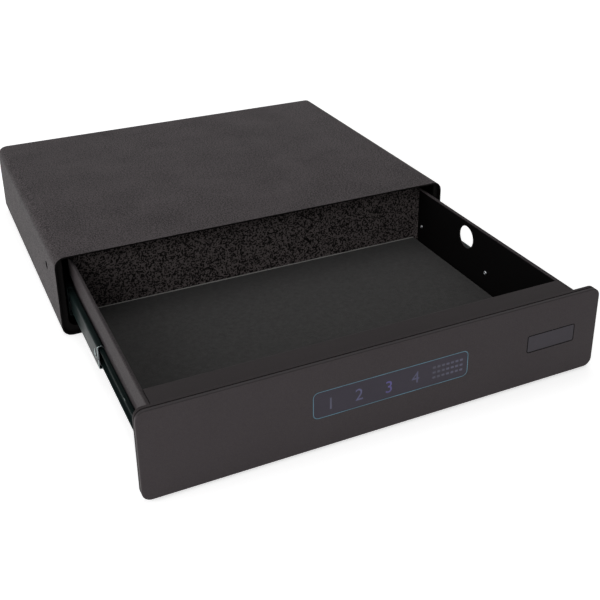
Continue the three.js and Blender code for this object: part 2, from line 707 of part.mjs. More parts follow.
/** The touch surface inside the light guide. */
function keypadLens() {
  const front = FASCIA_FRONT + LENS_SINK;
  return alongY(keypadOutline(-LIGHT_LINE / 2 - SEAT_GAP), front, front + LENS_THICKNESS);
}

/** The keypad's circuit board, on the steel plate inside the window. */
function keypadBoard() {
  const rear = FRONT - SEAT_GAP;
  return alongY(keypadOutline(LIGHT_LINE / 2 - 0.1), rear - BOARD_THICKNESS, rear);
}

/** The two snap pegs of the lock cover, or the holes for them. */
function coverPegs(radius, from, to) {
  const reach = COVER_PEG_SPACING / 2;
  return [-reach, reach].map(
    (x) => barAlongY(COVER_CENTRE_X + x, COVER_CENTRE_HEIGHT, radius, from, to, 12),
  );
}

/** The bare cover plate over the emergency lock. */
function lockCover() {
  const front = FASCIA_FRONT + COVER_SINK;
  const rear = front + COVER_THICKNESS;
  return join(
    alongY(coverOutline(0), front, rear),
    ...coverPegs(COVER_PEG_RADIUS, rear - 0.5, rear + COVER_PEG_LENGTH),
  );
}

// Emergency lock

const LOCK_FACE = FASCIA_FRONT + COVER_SINK + COVER_THICKNESS + 0.4;
const LOCK_REAR = PLATE_REAR + LOCK_BODY_LENGTH;

/** The fixed cylinder, with a rim that sits on the steel plate. */
function lockCylinder() {
  const bore = LOCK_PLUG_RADIUS + RUNNING_GAP;
  return turnedAboutY([
    [LOCK_RIM_RADIUS, LOCK_FACE], [LOCK_RIM_RADIUS, FRONT - SEAT_GAP],
    [LOCK_BODY_RADIUS, FRONT - SEAT_GAP], [LOCK_BODY_RADIUS, LOCK_REAR],
    [bore, LOCK_REAR], [bore, LOCK_FACE],
  ], COVER_CENTRE_X, COVER_CENTRE_HEIGHT);
}

/** The nut that clamps the cylinder behind the plate. */
function lockNut() {
  const from = PLATE_REAR + SEAT_GAP;
  return alongY(
    circle(COVER_CENTRE_X, COVER_CENTRE_HEIGHT, LOCK_NUT_RADIUS, 6),
    from, from + LOCK_NUT_THICKNESS, [lockHole(LOCK_BODY_RADIUS + RUNNING_GAP)],
  );
}

/** The plug that a key turns, with its keyway and the lever behind it. */
function lockPlug() {
  const front = LOCK_FACE + 0.2;
  const leverFrom = LOCK_REAR + SEAT_GAP;
  const leverTo = leverFrom + LOCK_LEVER_THICKNESS;
  const plug = barAlongY(COVER_CENTRE_X, COVER_CENTRE_HEIGHT, LOCK_PLUG_RADIUS, front, leverTo);
  const half = LOCK_PLUG_RADIUS;
  const lever = alongY(
    roundedRectangle(
      COVER_CENTRE_X - half, COVER_CENTRE_HEIGHT - LOCK_LEVER_LENGTH,
      COVER_CENTRE_X + half, COVER_CENTRE_HEIGHT + half + 0.5, half - 0.5,
    ),
    leverFrom, leverTo,
  );
  const keyway = block(
    COVER_CENTRE_X - KEYWAY_WIDTH / 2, front - 1, COVER_CENTRE_HEIGHT - KEYWAY_HEIGHT / 2,
    COVER_CENTRE_X + KEYWAY_WIDTH / 2, front + 18, COVER_CENTRE_HEIGHT + KEYWAY_HEIGHT / 2,
  );
  return cut(join(plug, lever), keyway);
}

// Bolts, racks and pinion

/** Half the angle of a pinion tooth at a radius: involute above the base circle, straight below it. */
function toothHalfAngle(radius) {
  const involute = (angle) => Math.tan(angle) - angle;
  const base = PITCH_RADIUS * Math.cos(PRESSURE_ANGLE);
  const atPitch = (TOOTH_PITCH / 2 - TOOTH_GAP) / 2 / PITCH_RADIUS;
  const angle = radius > base ? Math.acos(base / radius) : 0;
  return atPitch + involute(PRESSURE_ANGLE) - involute(angle);
}

/** The pinion on the gear motor's shaft, with a gap between two teeth straight below its axis. */
function lockPinion() {
  const radii = [
    PITCH_RADIUS - TOOTH_ROOT, PITCH_RADIUS * Math.cos(PRESSURE_ANGLE),
    PITCH_RADIUS, PITCH_RADIUS + PINION_ADDENDUM / 2, PITCH_RADIUS + PINION_ADDENDUM,
  ];
  const outline = [];
  const at = (radius, angle) => outline.push(
    new THREE.Vector2(radius * Math.cos(angle), BOLT_HEIGHT + radius * Math.sin(angle)),
  );
  for (let tooth = 0; tooth < PINION_TEETH; tooth++) {
    const centre = -Math.PI / 2 + ((tooth + 0.5) * 2 * Math.PI) / PINION_TEETH;
    for (const radius of radii) at(radius, centre - toothHalfAngle(radius));
    for (const radius of [...radii].reverse()) at(radius, centre + toothHalfAngle(radius));
  }
  const half = BOLT_BAR_THICKNESS / 2;
  return join(
    alongY(outline, BOLT_Y - half, BOLT_Y + half),
    barAlongY(0, BOLT_HEIGHT, SHAFT_RADIUS + 1.5, BOLT_Y + half - 0.5, CHASSIS_FRONT - 0.3),
    barAlongY(0, BOLT_HEIGHT, SHAFT_RADIUS, BOLT_Y + half, CHASSIS_REAR + 6),
  );
}

/** Outline of the rack below the pinion, with its teeth upwards. */
function rackOutline(left, right) {
  const pitchLine = BOLT_HEIGHT - PITCH_RADIUS;
  const root = pitchLine - TOOTH_ROOT - 0.25;
  const tip = pitchLine + RACK_ADDENDUM;
  const halfAt = (height) =>
    (TOOTH_PITCH / 2 - TOOTH_GAP) / 2 - (height - pitchLine) * Math.tan(PRESSURE_ANGLE);
  const outline = [new THREE.Vector2(left, root - RACK_BACK), new THREE.Vector2(right, root - RACK_BACK)];
  outline.push(new THREE.Vector2(right, root));
  for (let tooth = RACK_TEETH - 2; tooth >= -1; tooth--) {
    const x = tooth * TOOTH_PITCH;
    outline.push(new THREE.Vector2(x + halfAt(root), root));
    outline.push(new THREE.Vector2(x + halfAt(tip), tip));
    outline.push(new THREE.Vector2(x - halfAt(tip), tip));
    outline.push(new THREE.Vector2(x - halfAt(root), root));
  }
  outline.push(new THREE.Vector2(left, root));
  return outline;
}

/** The left-hand bolt, drawn back: a round end, a flat bar, and a rack below the pinion. */
function boltWithRack() {
  const tip = -RAIL_HALF + 0.4;
  const barEnd = tip + BOLT_LENGTH;
  const from = BOLT_Y - BOLT_BAR_THICKNESS / 2;
  const to = BOLT_Y + BOLT_BAR_THICKNESS / 2;
  const armRight = -PITCH_RADIUS - 15;
  const armLeft = armRight - 16;
  const rackLow = BOLT_HEIGHT - PITCH_RADIUS - TOOTH_ROOT - 0.25 - RACK_BACK;
  const barTop = BOLT_HEIGHT + BOLT_BAR_HEIGHT / 2;
  return join(
    barAlongX(BOLT_Y, BOLT_HEIGHT, BOLT_RADIUS, tip, barEnd),
    block(barEnd - 8, from, barTop - BOLT_BAR_HEIGHT, armRight, to, barTop),
    block(armLeft, from, rackLow, armRight, to, barTop),
    alongY(rackOutline(armRight - 4, (RACK_TEETH - 1.5) * TOOTH_PITCH), from, to),
  );
}

/** The block that guides the right-hand bolt beside the drawer wall. */
function boltGuide() {
  const outer = PAN_INNER - SEAT_GAP;
  const inner = outer - GUIDE_WIDTH;
  const front = PLATE_REAR + SEAT_GAP;
  const rear = BOLT_Y + BOLT_RADIUS + 3;
  const low = BOLT_HEIGHT - GUIDE_HEIGHT / 2;
  const outline = roundedRectangle(front, low, rear, low + GUIDE_HEIGHT, 2);
  return alongX(outline, inner, outer, [circle(BOLT_Y, BOLT_HEIGHT, BOLT_RADIUS + RUNNING_GAP)]);
}

// What the lock housing holds

/** The folded cover over the lock, cut out for the battery door and, at its foot, for the pan's bends. */
function lockHousing() {
  const front = PLATE_REAR + SEAT_GAP + HOUSING_SHEET / 2;
  const rear = HOUSING_REAR - HOUSING_SHEET / 2;
  const top = DRAWER_TOP - HOUSING_SHEET / 2;
  const low = PAN_FLOOR + SEAT_GAP + HOUSING_SHEET / 2;
  const middle = [
    [front, top - 10], [front, top, DRAWER_BEND], [rear, top, DRAWER_BEND],
    [rear, low, DRAWER_BEND], [rear - 14, low],
  ];
  const half = PAN_INNER - SEAT_GAP;
  const sheet = alongX(foldedSheet(middle, HOUSING_SHEET, 4), -half, half);
  const opening = block(
    TRAY_CENTRE_X - DOOR_WIDTH / 2, HOUSING_INNER_REAR - 1, DOOR_CENTRE_HEIGHT - DOOR_HEIGHT / 2,
    TRAY_CENTRE_X + DOOR_WIDTH / 2, HOUSING_REAR + 1, DOOR_CENTRE_HEIGHT + DOOR_HEIGHT / 2,
  );
  const reliefs = [-half - 1, half - DRAWER_BEND].map((left) => block(
    left, HOUSING_REAR - 20, PAN_FLOOR - 1, left + DRAWER_BEND + 1, HOUSING_REAR + 1, PAN_FLOOR + DRAWER_BEND,
  ));
  return cut(sheet, opening, ...reliefs);
}

/** The battery door, hinged on the round bar along its lower edge, with finger ribs. */
function batteryDoor() {
  const low = DOOR_CENTRE_HEIGHT - DOOR_HEIGHT / 2 + DOOR_MARGIN;
  const high = DOOR_CENTRE_HEIGHT + DOOR_HEIGHT / 2 - DOOR_MARGIN;
  const left = TRAY_CENTRE_X - DOOR_WIDTH / 2 + DOOR_MARGIN;
  const right = TRAY_CENTRE_X + DOOR_WIDTH / 2 - DOOR_MARGIN;
  const rear = HOUSING_REAR + 0.5;
  const plate = block(left, rear - DOOR_THICKNESS, low + DOOR_BARREL_RADIUS, right, rear, high);
  const barrel = barAlongX(
    HOUSING_REAR + 0.6, low + DOOR_BARREL_RADIUS, DOOR_BARREL_RADIUS, left, right, 12,
  );
  const ribs = [0, 1, 2].map((i) => block(
    TRAY_CENTRE_X - 9, rear - 0.5, high - 4 - 3 * i, TRAY_CENTRE_X + 9, rear + 0.7, high - 3 - 3 * i,
  ));
  return join(plate, barrel, ...ribs);
}

/** The battery tray, open towards the door, with a rim behind the housing's sheet. */
function batteryTray() {
  const halfWidth = TRAY_INNER_WIDTH / 2;
  const halfHeight = TRAY_INNER_HEIGHT / 2;
  const floor = TRAY_RIM_REAR - TRAY_WALL - 2 * CELL_RADIUS - 0.5;
  const frame = (margin, from, to) => block(
    TRAY_CENTRE_X - halfWidth - margin, from, DOOR_CENTRE_HEIGHT - halfHeight - margin,
    TRAY_CENTRE_X + halfWidth + margin, to, DOOR_CENTRE_HEIGHT + halfHeight + margin,
  );
  const body = frame(TRAY_WALL, floor - TRAY_WALL, TRAY_RIM_REAR);
  const rim = frame(2 * TRAY_RIM, TRAY_RIM_REAR - TRAY_WALL, TRAY_RIM_REAR);
  const rib = block(
    TRAY_CENTRE_X - halfWidth - 1, floor - 1, DOOR_CENTRE_HEIGHT - 0.5,
    TRAY_CENTRE_X + halfWidth + 1, floor + 4, DOOR_CENTRE_HEIGHT + 0.5,
  );
  return join(cut(join(body, rim), frame(0, floor, TRAY_RIM_REAR + 1)), rib);
}

/** One round cell lying along X, with its raised contact to the right. */
function batteryCell(x, z) {
  const nub = 1.3;
  const y = TRAY_RIM_REAR - TRAY_WALL - CELL_RADIUS - 0.25;
  return join(
    barAlongX(y, z, CELL_RADIUS, x - CELL_LENGTH / 2, x + CELL_LENGTH / 2 - nub, 20),
    barAlongX(y, z, 2.7, x + CELL_LENGTH / 2 - nub - 1, x + CELL_LENGTH / 2, 12),
  );
}

/** The folded bracket that holds the motor, open where the racks pass. */
function lockChassis() {
  const foot = PLATE_REAR + SEAT_GAP + CHASSIS_SHEET / 2;
  const face = CHASSIS_FRONT + CHASSIS_SHEET / 2;
  const leg = CHASSIS_WIDTH / 2;
  const middle = [
    [-leg - CHASSIS_FOOT, foot], [-leg, foot, 1.5], [-leg, face, 1.5],
    [leg, face, 1.5], [leg, foot, 1.5], [leg + CHASSIS_FOOT, foot],
  ];
  const low = BOLT_HEIGHT - CHASSIS_HEIGHT / 2;
  const folded = alongZ(foldedSheet(middle, CHASSIS_SHEET), low, low + CHASSIS_HEIGHT);
  const clear = BOLT_BAR_THICKNESS / 2 + 1.5;
  const windowHalf = BOLT_BAR_HEIGHT / 2 + 3;
  const window = block(
    -leg - 5, BOLT_Y - clear, BOLT_HEIGHT - windowHalf, leg + 5, BOLT_Y + clear, BOLT_HEIGHT + windowHalf,
  );
  const shaftHole = barAlongY(0, BOLT_HEIGHT, SHAFT_RADIUS + 0.5, CHASSIS_FRONT - 1, CHASSIS_REAR + 1);
  return cut(folded, window, shaftHole);
}

/** The gear motor, with a square gearbox in front of its round body. */
function lockMotor() {
  const front = CHASSIS_REAR + SEAT_GAP;
  const gearbox = alongY(
    roundedRectangle(-MOTOR_RADIUS, BOLT_HEIGHT - MOTOR_RADIUS, MOTOR_RADIUS, BOLT_HEIGHT + MOTOR_RADIUS, 3),
    front, front + 9,
  );
  const body = barAlongY(0, BOLT_HEIGHT, MOTOR_RADIUS - 1, front + 8, front + MOTOR_LENGTH);
  const bore = barAlongY(0, BOLT_HEIGHT, SHAFT_RADIUS + RUNNING_GAP, front - 1, front + 7);
  return cut(join(gearbox, body), bore);
}

/** The control board on four standoffs, with its larger components. */
function controlBoard() {
  const seat = PLATE_REAR + SEAT_GAP;
  const face = seat + STANDOFF_LENGTH;
  const right = CONTROL_BOARD_RIGHT;
  const left = right - CONTROL_BOARD_WIDTH;
  const high = CONTROL_BOARD_LOW + CONTROL_BOARD_HEIGHT;
  const outline = roundedRectangle(left, CONTROL_BOARD_LOW, right, high, 2);
  const pieces = [alongY(outline, face, face + BOARD_THICKNESS)];
  for (const x of [left + 6, right - 6]) {
    for (const z of [CONTROL_BOARD_LOW + 6, high - 6]) {
      pieces.push(barAlongY(x, z, STANDOFF_RADIUS, seat, face + 0.5, 12));
    }
  }
  const rear = face + BOARD_THICKNESS;
  const component = (x, z, width, height, depth) => block(
    left + x, rear - 0.5, CONTROL_BOARD_LOW + z,
    left + x + width, rear + depth, CONTROL_BOARD_LOW + z + height,
  );
  pieces.push(component(18, 14, 16, 16, 2));
  pieces.push(component(44, 10, 10, 24, 7));
  pieces.push(component(66, 12, 30, 6, 6));
  pieces.push(barAlongY(left + 78, CONTROL_BOARD_LOW + 30, 6, rear - 0.5, rear + 9, 16));
  return join(...pieces);
}

// Assembly

const safe = new THREE.Group();

addPiece(safe, 'casing_wrap', casingWrap(), CASING_PAINT);
addPiece(safe, 'casing_back', casingBack(), CASING_PAINT);
addPiece(safe, 'casing_jamb', casingJamb(), DRAWER_PAINT);

/** A group that travels with a share of the drawer's opening. */
function travelling(share) {
  const group = new THREE.Group();
  group.position.y = -DRAWER_OPEN * share;
  safe.add(group);
  return group;
}

const SIDES = [['left', -1], ['right', 1]];
const drawer = travelling(1);
const middleMembers = travelling(0.5);
const outerCages = travelling(0.25);
const innerCages = travelling(0.75);
const middleShift = DRAWER_OPEN * 0.5;
const outerCageFrom = cageStart(
  SLIDE_OUTER_FROM, SLIDE_MIDDLE_FROM + SLIDE_MIDDLE_LENGTH - middleShift, 0.25,
);
const innerCageFrom = cageStart(
  SLIDE_MIDDLE_FROM - middleShift, SLIDE_INNER_FROM + SLIDE_LENGTH - DRAWER_OPEN, 0.75,
);

for (const [word, side] of SIDES) {
  addPiece(safe, `strike_${word}`, strike(), BRIGHT_STEEL, side);
  addPiece(safe, `slide_bracket_${word}`, slideBracket(), ZINC, side);
  addPiece(safe, `slide_outer_${word}`, slideOuter(), ZINC, side);
  addPiece(middleMembers, `slide_middle_${word}`, slideMiddle(), ZINC, side);
  addPiece(drawer, `slide_inner_${word}`, slideInner(), ZINC, side);
  const outerCage = ballCage(OUTER_CAGE_U, OUTER_BALL_U, OUTER_BALL_V, outerCageFrom);
  const innerCage = ballCage(INNER_CAGE_U, INNER_BALL_U, INNER_BALL_V, innerCageFrom);
  addPiece(outerCages, `ball_cage_outer_${word}`, outerCage, BRIGHT_STEEL, side);
  addPiece(innerCages, `ball_cage_inner_${word}`, innerCage, BRIGHT_STEEL, side);
  addPiece(drawer, `bolt_guide_${word}`, boltGuide(), ZINC, side);
}

addPiece(drawer, 'drawer_pan', drawerPan(), DRAWER_PAINT);
addPiece(drawer, 'drawer_back', drawerBack(), DRAWER_PAINT);
addPiece(drawer, 'drawer_mat', drawerMat(), FELT);
addPiece(drawer, 'front_plate', frontPlate(), FASCIA_PAINT);
addPiece(drawer, 'front_gasket', frontGasket(), RUBBER);
addPiece(drawer, 'front_fascia', frontFascia(), FASCIA_PAINT);
addPiece(drawer, 'keypad_light_guide', keypadLightGuide(), LIGHT_GUIDE);
addPiece(drawer, 'keypad_lens', keypadLens(), BLACK_ACRYLIC);
addPiece(drawer, 'keypad_board', keypadBoard(), BOARD_GREEN);
addPiece(drawer, 'lock_cover', lockCover(), FASCIA_PAINT);
addPiece(drawer, 'lock_cylinder', lockCylinder(), BRASS);
addPiece(drawer, 'lock_nut', lockNut(), ZINC);
addPiece(drawer, 'lock_plug', lockPlug(), BRASS);
addPiece(drawer, 'lock_housing', lockHousing(), DRAWER_PAINT);
addPiece(drawer, 'lock_chassis', lockChassis(), ZINC);
addPiece(drawer, 'lock_motor', lockMotor(), BLACK_PLASTIC);
addPiece(drawer, 'lock_pinion', lockPinion(), BRASS);
addPiece(drawer, 'bolt_left', boltWithRack(), BRIGHT_STEEL);
addPiece(drawer, 'battery_tray', batteryTray(), BLACK_PLASTIC);
addPiece(drawer, 'battery_door', batteryDoor(), BLACK_PLASTIC);
addPiece(drawer, 'control_board', controlBoard(), BOARD_GREEN);

// The right-hand bolt is the left-hand one turned half a turn about the pinion's axis.
const boltRight = addPiece(drawer, 'bolt_right', boltWithRack(), BRIGHT_STEEL);
boltRight.rotation.y = Math.PI;
boltRight.position.z = 2 * BOLT_HEIGHT;

let cellNumber = 1;
for (const rowSide of [-1, 1]) {
  for (const place of [-1, 1]) {
    const x = TRAY_CENTRE_X + (place * (CELL_LENGTH + 0.5)) / 2;
    const cell = batteryCell(x, DOOR_CENTRE_HEIGHT + (rowSide * CELL_SPACING) / 2);
    addPiece(drawer, `battery_cell_${cellNumber}`, cell, CELL_WRAP);
    cellNumber += 1;
  }
}

export default safe;
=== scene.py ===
"""Looks of the under-bed safe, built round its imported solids.

Metres, with Z up and Y from the front to the back. The drawer stands open towards -Y, and the
casing stands on the plane Z = 0. Each sub-assembly is a class that rounds and dresses its CAD
nodes and adds its small pieces.
"""

import json
import logging
import math
from dataclasses import dataclass, field, replace
from enum import Enum
from typing import ClassVar

import bmesh
import bpy
from mathutils import Matrix, Vector


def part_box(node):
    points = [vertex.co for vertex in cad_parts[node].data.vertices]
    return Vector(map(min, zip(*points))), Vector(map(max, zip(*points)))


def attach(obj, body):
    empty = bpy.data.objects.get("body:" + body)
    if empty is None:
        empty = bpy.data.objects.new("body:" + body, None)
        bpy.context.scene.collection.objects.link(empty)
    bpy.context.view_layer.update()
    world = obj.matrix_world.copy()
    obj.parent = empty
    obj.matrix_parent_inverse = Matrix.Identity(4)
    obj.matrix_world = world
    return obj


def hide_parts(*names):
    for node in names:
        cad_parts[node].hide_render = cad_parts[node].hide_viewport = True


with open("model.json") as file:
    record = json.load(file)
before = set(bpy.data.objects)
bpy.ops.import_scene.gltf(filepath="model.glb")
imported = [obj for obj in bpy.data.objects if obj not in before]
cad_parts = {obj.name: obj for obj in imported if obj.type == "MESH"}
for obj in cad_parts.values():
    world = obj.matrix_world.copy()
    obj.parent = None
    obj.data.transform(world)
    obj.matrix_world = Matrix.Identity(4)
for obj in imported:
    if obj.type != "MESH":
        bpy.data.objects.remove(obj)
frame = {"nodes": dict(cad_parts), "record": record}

bpy.context.view_layer.update()

LOG = logging.getLogger("under_bed_safe")
MM = 0.001
RECORD = frame["record"]
BODY_OF = {
    node: body for body, nodes in RECORD["behaviour"]["bodies"].items() for node in nodes
}
Colour = tuple[float, float, float]

# Face attributes that the finishes read: rounded edges, and faces that get painted shade.
EDGE_MASK = "edge_mask"
PAINTED_SHADE_MASK = "inner_face"

# Mesh work: points nearer than this are one, faces bent less than this are one flat face, edges
# bent more than this get a rounding, and edges bent less than this shade smoothly.
SAME_POINT = 0.002 * MM
FLAT_DEGREES = 0.3
SHARP_DEGREES = 32.0
SMOOTH_DEGREES = 50.0

# Steps across a rounding: on most pieces, and on those that are seen from near.
PLAIN_STEPS = 2
FINE_STEPS = 3

# Digits of a place in metres that count when a mesh's parts are put in order.
ORDER_DIGITS = 6

# How nearly a face's normal has to lie along a direction, as their dot product.
SLANTED_TO = 0.2
FACING = 0.5
SQUARE_TO = 0.8

# Half the width between the drawer's side walls.
PAN_INNER_HALF = 290.0 * MM

# A screw or rivet head's outline from its seat to its socket, as shares of radius and height.
HEAD_OUTLINE = (
    (0.0, 0.0), (1.0, 0.0), (1.0, 0.45), (0.9, 0.85), (0.72, 1.0),
    (0.42, 1.0), (0.36, 0.8), (0.34, 0.35), (0.0, 0.3),
)
HEAD_STEPS = 16


class Side(Enum):
    """A side of the safe as seen from its front, with the sign of its X."""

    LEFT = -1
    RIGHT = 1

    @property
    def word(self) -> str:
        """The side's word in the nodes' names."""
        return self.name.lower()


# Shader nodes


class NodeSheet:
    """Places nodes in a node tree and links them."""

    def __init__(self, tree: bpy.types.NodeTree) -> None:
        """Starts on a tree.

        Args:
            tree: the node tree to fill.
        """
        self.tree = tree

    def feed(self, node: bpy.types.Node, inputs: dict) -> None:
        """Fills a node's inputs.

        Args:
            node: the node.
            inputs: socket name or number to a value, or to an output socket to link.
        """
        for socket, value in inputs.items():
            if isinstance(value, bpy.types.NodeSocket):
                self.tree.links.new(value, node.inputs[socket])
            else:
                node.inputs[socket].default_value = value

    def add(self, kind: str, inputs: dict | None = None, **settings: object) -> bpy.types.Node:
        """Adds one node.

        Args:
            kind: the node's type name in Blender.
            inputs: socket name or number to a value, or to an output socket to link.
            **settings: attributes to set on the node.

        Returns:
            The new node.
        """
        node = self.tree.nodes.new(kind)
        for name, value in settings.items():
            setattr(node, name, value)
        self.feed(node, inputs or {})
        return node

    def math(self, operation: str, first: object, second: object = 0.5) -> bpy.types.NodeSocket:
        """Adds a Math node.

        Args:
            operation: the Math node's operation.
            first: a number or an output socket.
            second: a number or an output socket.

        Returns:
            The node's output socket.
        """
        return self.add("ShaderNodeMath", {0: first, 1: second}, operation=operation).outputs[0]

    def weigh(self, first: object, second: object, share: float) -> bpy.types.NodeSocket:
        """Adds a weighted mean of two values.

        Args:
            first: a number or an output socket.
            second: a number or an output socket.
            share: the first value's weight, from 0 to 1.

        Returns:
            The mean's output socket.
        """
        lesser = self.math("MULTIPLY", second, 1.0 - share)
        return self.math("ADD", self.math("MULTIPLY", first, share), lesser)

    def blend(self, share: object, low: object, high: object) -> bpy.types.NodeSocket:
        """Adds a colour mix.

        Args:
            share: how much of the second colour, as a number or an output socket.
            low: the colour where the share is 0.
            high: the colour where the share is 1.

        Returns:
            The mixed colour's output socket.
        """
        node = self.add("ShaderNodeMix", {0: share, 6: low, 7: high}, data_type="RGBA")
        return node.outputs[2]

    def ramp(
        self, value: object, low: float, high: float, low_to: float, high_to: float
    ) -> bpy.types.NodeSocket:
        """Adds a clamped Map Range node.

        Args:
            value: the number or output socket to map.
            low: the value that becomes low_to.
            high: the value that becomes high_to.
            low_to: the result at low.
            high_to: the result at high.

        Returns:
            The mapped value's output socket.
        """
        node = self.add("ShaderNodeMapRange", {0: value, 1: low, 2: high, 3: low_to, 4: high_to})
        return node.outputs[0]

    def stretch(self, value: object, spread: float) -> bpy.types.NodeSocket:
        """Stretches a noise about its middle, so that it runs from 0 to 1.

        Args:
            value: the noise's output socket.
            spread: how far below and above 0.5 it becomes 0 and 1.

        Returns:
            The stretched value's output socket.
        """
        return self.ramp(value, 0.5 - spread, 0.5 + spread, 0.0, 1.0)

    def noise(
        self, place: object, scale: object, detail: float = 3.0, rough: float = 0.55
    ) -> bpy.types.NodeSocket:
        """Adds a noise texture.

        Args:
            place: the coordinates' output socket.
            scale: features per metre.
            detail: octaves of finer noise.
            rough: weight of the finer octaves.

        Returns:
            The noise value's output socket.
        """
        inputs = {"Vector": place, "Scale": scale, "Detail": detail, "Roughness": rough}
        return self.add("ShaderNodeTexNoise", inputs).outputs[0]

    def place(self) -> bpy.types.NodeSocket:
        """Object coordinates."""
        return self.add("ShaderNodeTexCoord").outputs["Object"]

    def mask(self, name: str) -> bpy.types.NodeSocket:
        """Reads a face attribute.

        Args:
            name: the attribute's name.

        Returns:
            The attribute's output socket.
        """
        return self.add("ShaderNodeAttribute", attribute_name=name).outputs["Fac"]


def rgba(colour: Colour) -> tuple[float, float, float, float]:
    """A colour with full alpha."""
    return (*colour, 1.0)


def new_group(
    name: str, inputs: dict[str, float], outputs: tuple[str, ...]
) -> tuple[NodeSheet, dict, bpy.types.Node]:
    """Starts a shader node group of plain numbers.

    Args:
        name: the group's name.
        inputs: each input's name and default value.
        outputs: each output's name.

    Returns:
        The sheet to build on, the inputs' sockets by name, and the group's output node.
    """
    tree = bpy.data.node_groups.new(name, "ShaderNodeTree")
    for label, value in inputs.items():
        socket = tree.interface.new_socket(label, in_out="INPUT", socket_type="NodeSocketFloat")
        socket.default_value = value
    for label in outputs:
        tree.interface.new_socket(label, in_out="OUTPUT", socket_type="NodeSocketFloat")
    entry = tree.nodes.new("NodeGroupInput")
    leave = tree.nodes.new("NodeGroupOutput")
    return NodeSheet(tree), {label: entry.outputs[label] for label in inputs}, leave


def grain_group() -> bpy.types.NodeTree:
    """The fine pebbled skin of a baked powder coat: Tone from 0 to 1 and Height from 0 to 1."""
    inputs = {"Scale": 900.0, "Mottle": 14.0, "Clouds": 0.4}
    sheet, given, leave = new_group("powder_grain", inputs, ("Tone", "Height"))
    place = sheet.place()
    cells = {"Vector": place, "Scale": given["Scale"]}
    pebbles = sheet.add("ShaderNodeTexVoronoi", cells, feature="SMOOTH_F1").outputs["Distance"]
    fine = sheet.noise(place, sheet.math("MULTIPLY", given["Scale"], 0.8), 2.0)
    mottle = sheet.noise(place, given["Mottle"], 4.0)
    drift = sheet.math("MULTIPLY", sheet.math("SUBTRACT", mottle, fine), given["Clouds"])
    tone = sheet.math("ADD", fine, drift)
    sheet.feed(leave, {"Tone": tone, "Height": sheet.weigh(pebbles, fine, 0.5)})
    return sheet.tree


def wear_group() -> bpy.types.NodeTree:
    """Rubbed edges, which on the slides are painted highlights as well: Mask is 1 where the finish
    has gone, only on faces marked as an edge.
    """
    sheet, given, leave = new_group("edge_wear", {"Amount": 0.3, "Scale": 90.0}, ("Mask",))
    patches = sheet.noise(sheet.place(), given["Scale"], 5.0, 0.7)
    cut = sheet.math("SUBTRACT", 0.8, sheet.math("MULTIPLY", given["Amount"], 0.5))
    rubbed = sheet.ramp(sheet.math("SUBTRACT", patches, cut), 0.0, 0.06, 0.0, 1.0)
    sheet.feed(leave, {"Mask": sheet.math("MULTIPLY", sheet.mask(EDGE_MASK), rubbed)})
    return sheet.tree


def smudge_group() -> bpy.types.NodeTree:
    """Handling marks: Mask drifts slowly from 0 to 1 over a surface."""
    sheet, given, leave = new_group("smudges", {"Scale": 6.0}, ("Mask",))
    place = sheet.place()
    broad = sheet.noise(place, given["Scale"], 2.0)
    streaks = sheet.noise(place, sheet.math("MULTIPLY", given["Scale"], 7.0), 4.0, 0.7)
    sheet.feed(leave, {"Mask": sheet.stretch(sheet.weigh(broad, streaks, 0.65), 0.15)})
    return sheet.tree


def drawn_group() -> bpy.types.NodeTree:
    """Fine lines along Y, as rolling or drawing leaves on steel: Lines and Height from 0 to 1."""
    sheet, given, leave = new_group("rolled_lines", {"Scale": 1400.0}, ("Lines", "Height"))
    along = {"Vector": sheet.place(), "Scale": (1.0, 0.02, 1.0)}
    stretched = sheet.add("ShaderNodeMapping", along).outputs[0]
    lines = sheet.noise(stretched, given["Scale"], 3.0, 0.6)
    cloud = sheet.noise(sheet.place(), 40.0, 3.0)
    sheet.feed(leave, {"Lines": sheet.weigh(lines, cloud, 0.6), "Height": lines})
    return sheet.tree


class Effects:
    """The shader node groups that several finishes share, each built once."""

    _built: ClassVar[dict[str, bpy.types.NodeTree]] = {}
    _makers = {
        "grain": grain_group, "wear": wear_group, "smudge": smudge_group, "drawn": drawn_group,
    }

    @classmethod
    def node(cls, sheet: NodeSheet, effect: str, **inputs: float) -> bpy.types.Node:
        """Places a shared effect in a material.

        Args:
            sheet: the material's node sheet.
            effect: grain, the wear and glint effect, smudge or drawn.
            **inputs: values for the group's inputs.

        Returns:
            The group node.
        """
        if effect not in cls._built:
            cls._built[effect] = cls._makers[effect]()
        return sheet.add("ShaderNodeGroup", inputs, node_tree=cls._built[effect])


# Finishes


@dataclass(frozen=True)
class Finish:
    """A surface finish. A subclass says in dress() what its nodes are."""

    name: str
    colour: Colour
    _made: ClassVar[dict[str, bpy.types.Material]] = {}

    def material(self) -> bpy.types.Material:
        """The finish's material, built the first time that it is asked for."""
        if self.name not in self._made:
            made = bpy.data.materials.new(self.name)
            made.use_nodes = True
            self.dress(NodeSheet(made.node_tree), made.node_tree.nodes["Principled BSDF"])
            self._made[self.name] = made
        return self._made[self.name]

    def dress(self, sheet: NodeSheet, shader: bpy.types.Node) -> None:
        """Fills in the material's nodes.

        Args:
            sheet: the material's node sheet.
            shader: its Principled BSDF.
        """
        raise NotImplementedError

    def tint(self, factor: float) -> tuple[float, float, float, float]:
        """The finish's colour, lighter or darker.

        Args:
            factor: what the colour is multiplied by.

        Returns:
            The new colour with full alpha.
        """
        return rgba(tuple(min(part * factor, 1.0) for part in self.colour))

    def shades(
        self, sheet: NodeSheet, tone: bpy.types.NodeSocket, contrast: float
    ) -> bpy.types.NodeSocket:
        """The finish's colour, darker where a tone is 0 and lighter where it is 1.

        Args:
            sheet: the material's node sheet.
            tone: the tone's output socket.
            contrast: the share by which the colour is darkened and lightened.

        Returns:
            The shaded colour's output socket.
        """
        return sheet.blend(tone, self.tint(1.0 - contrast), self.tint(1.0 + contrast))


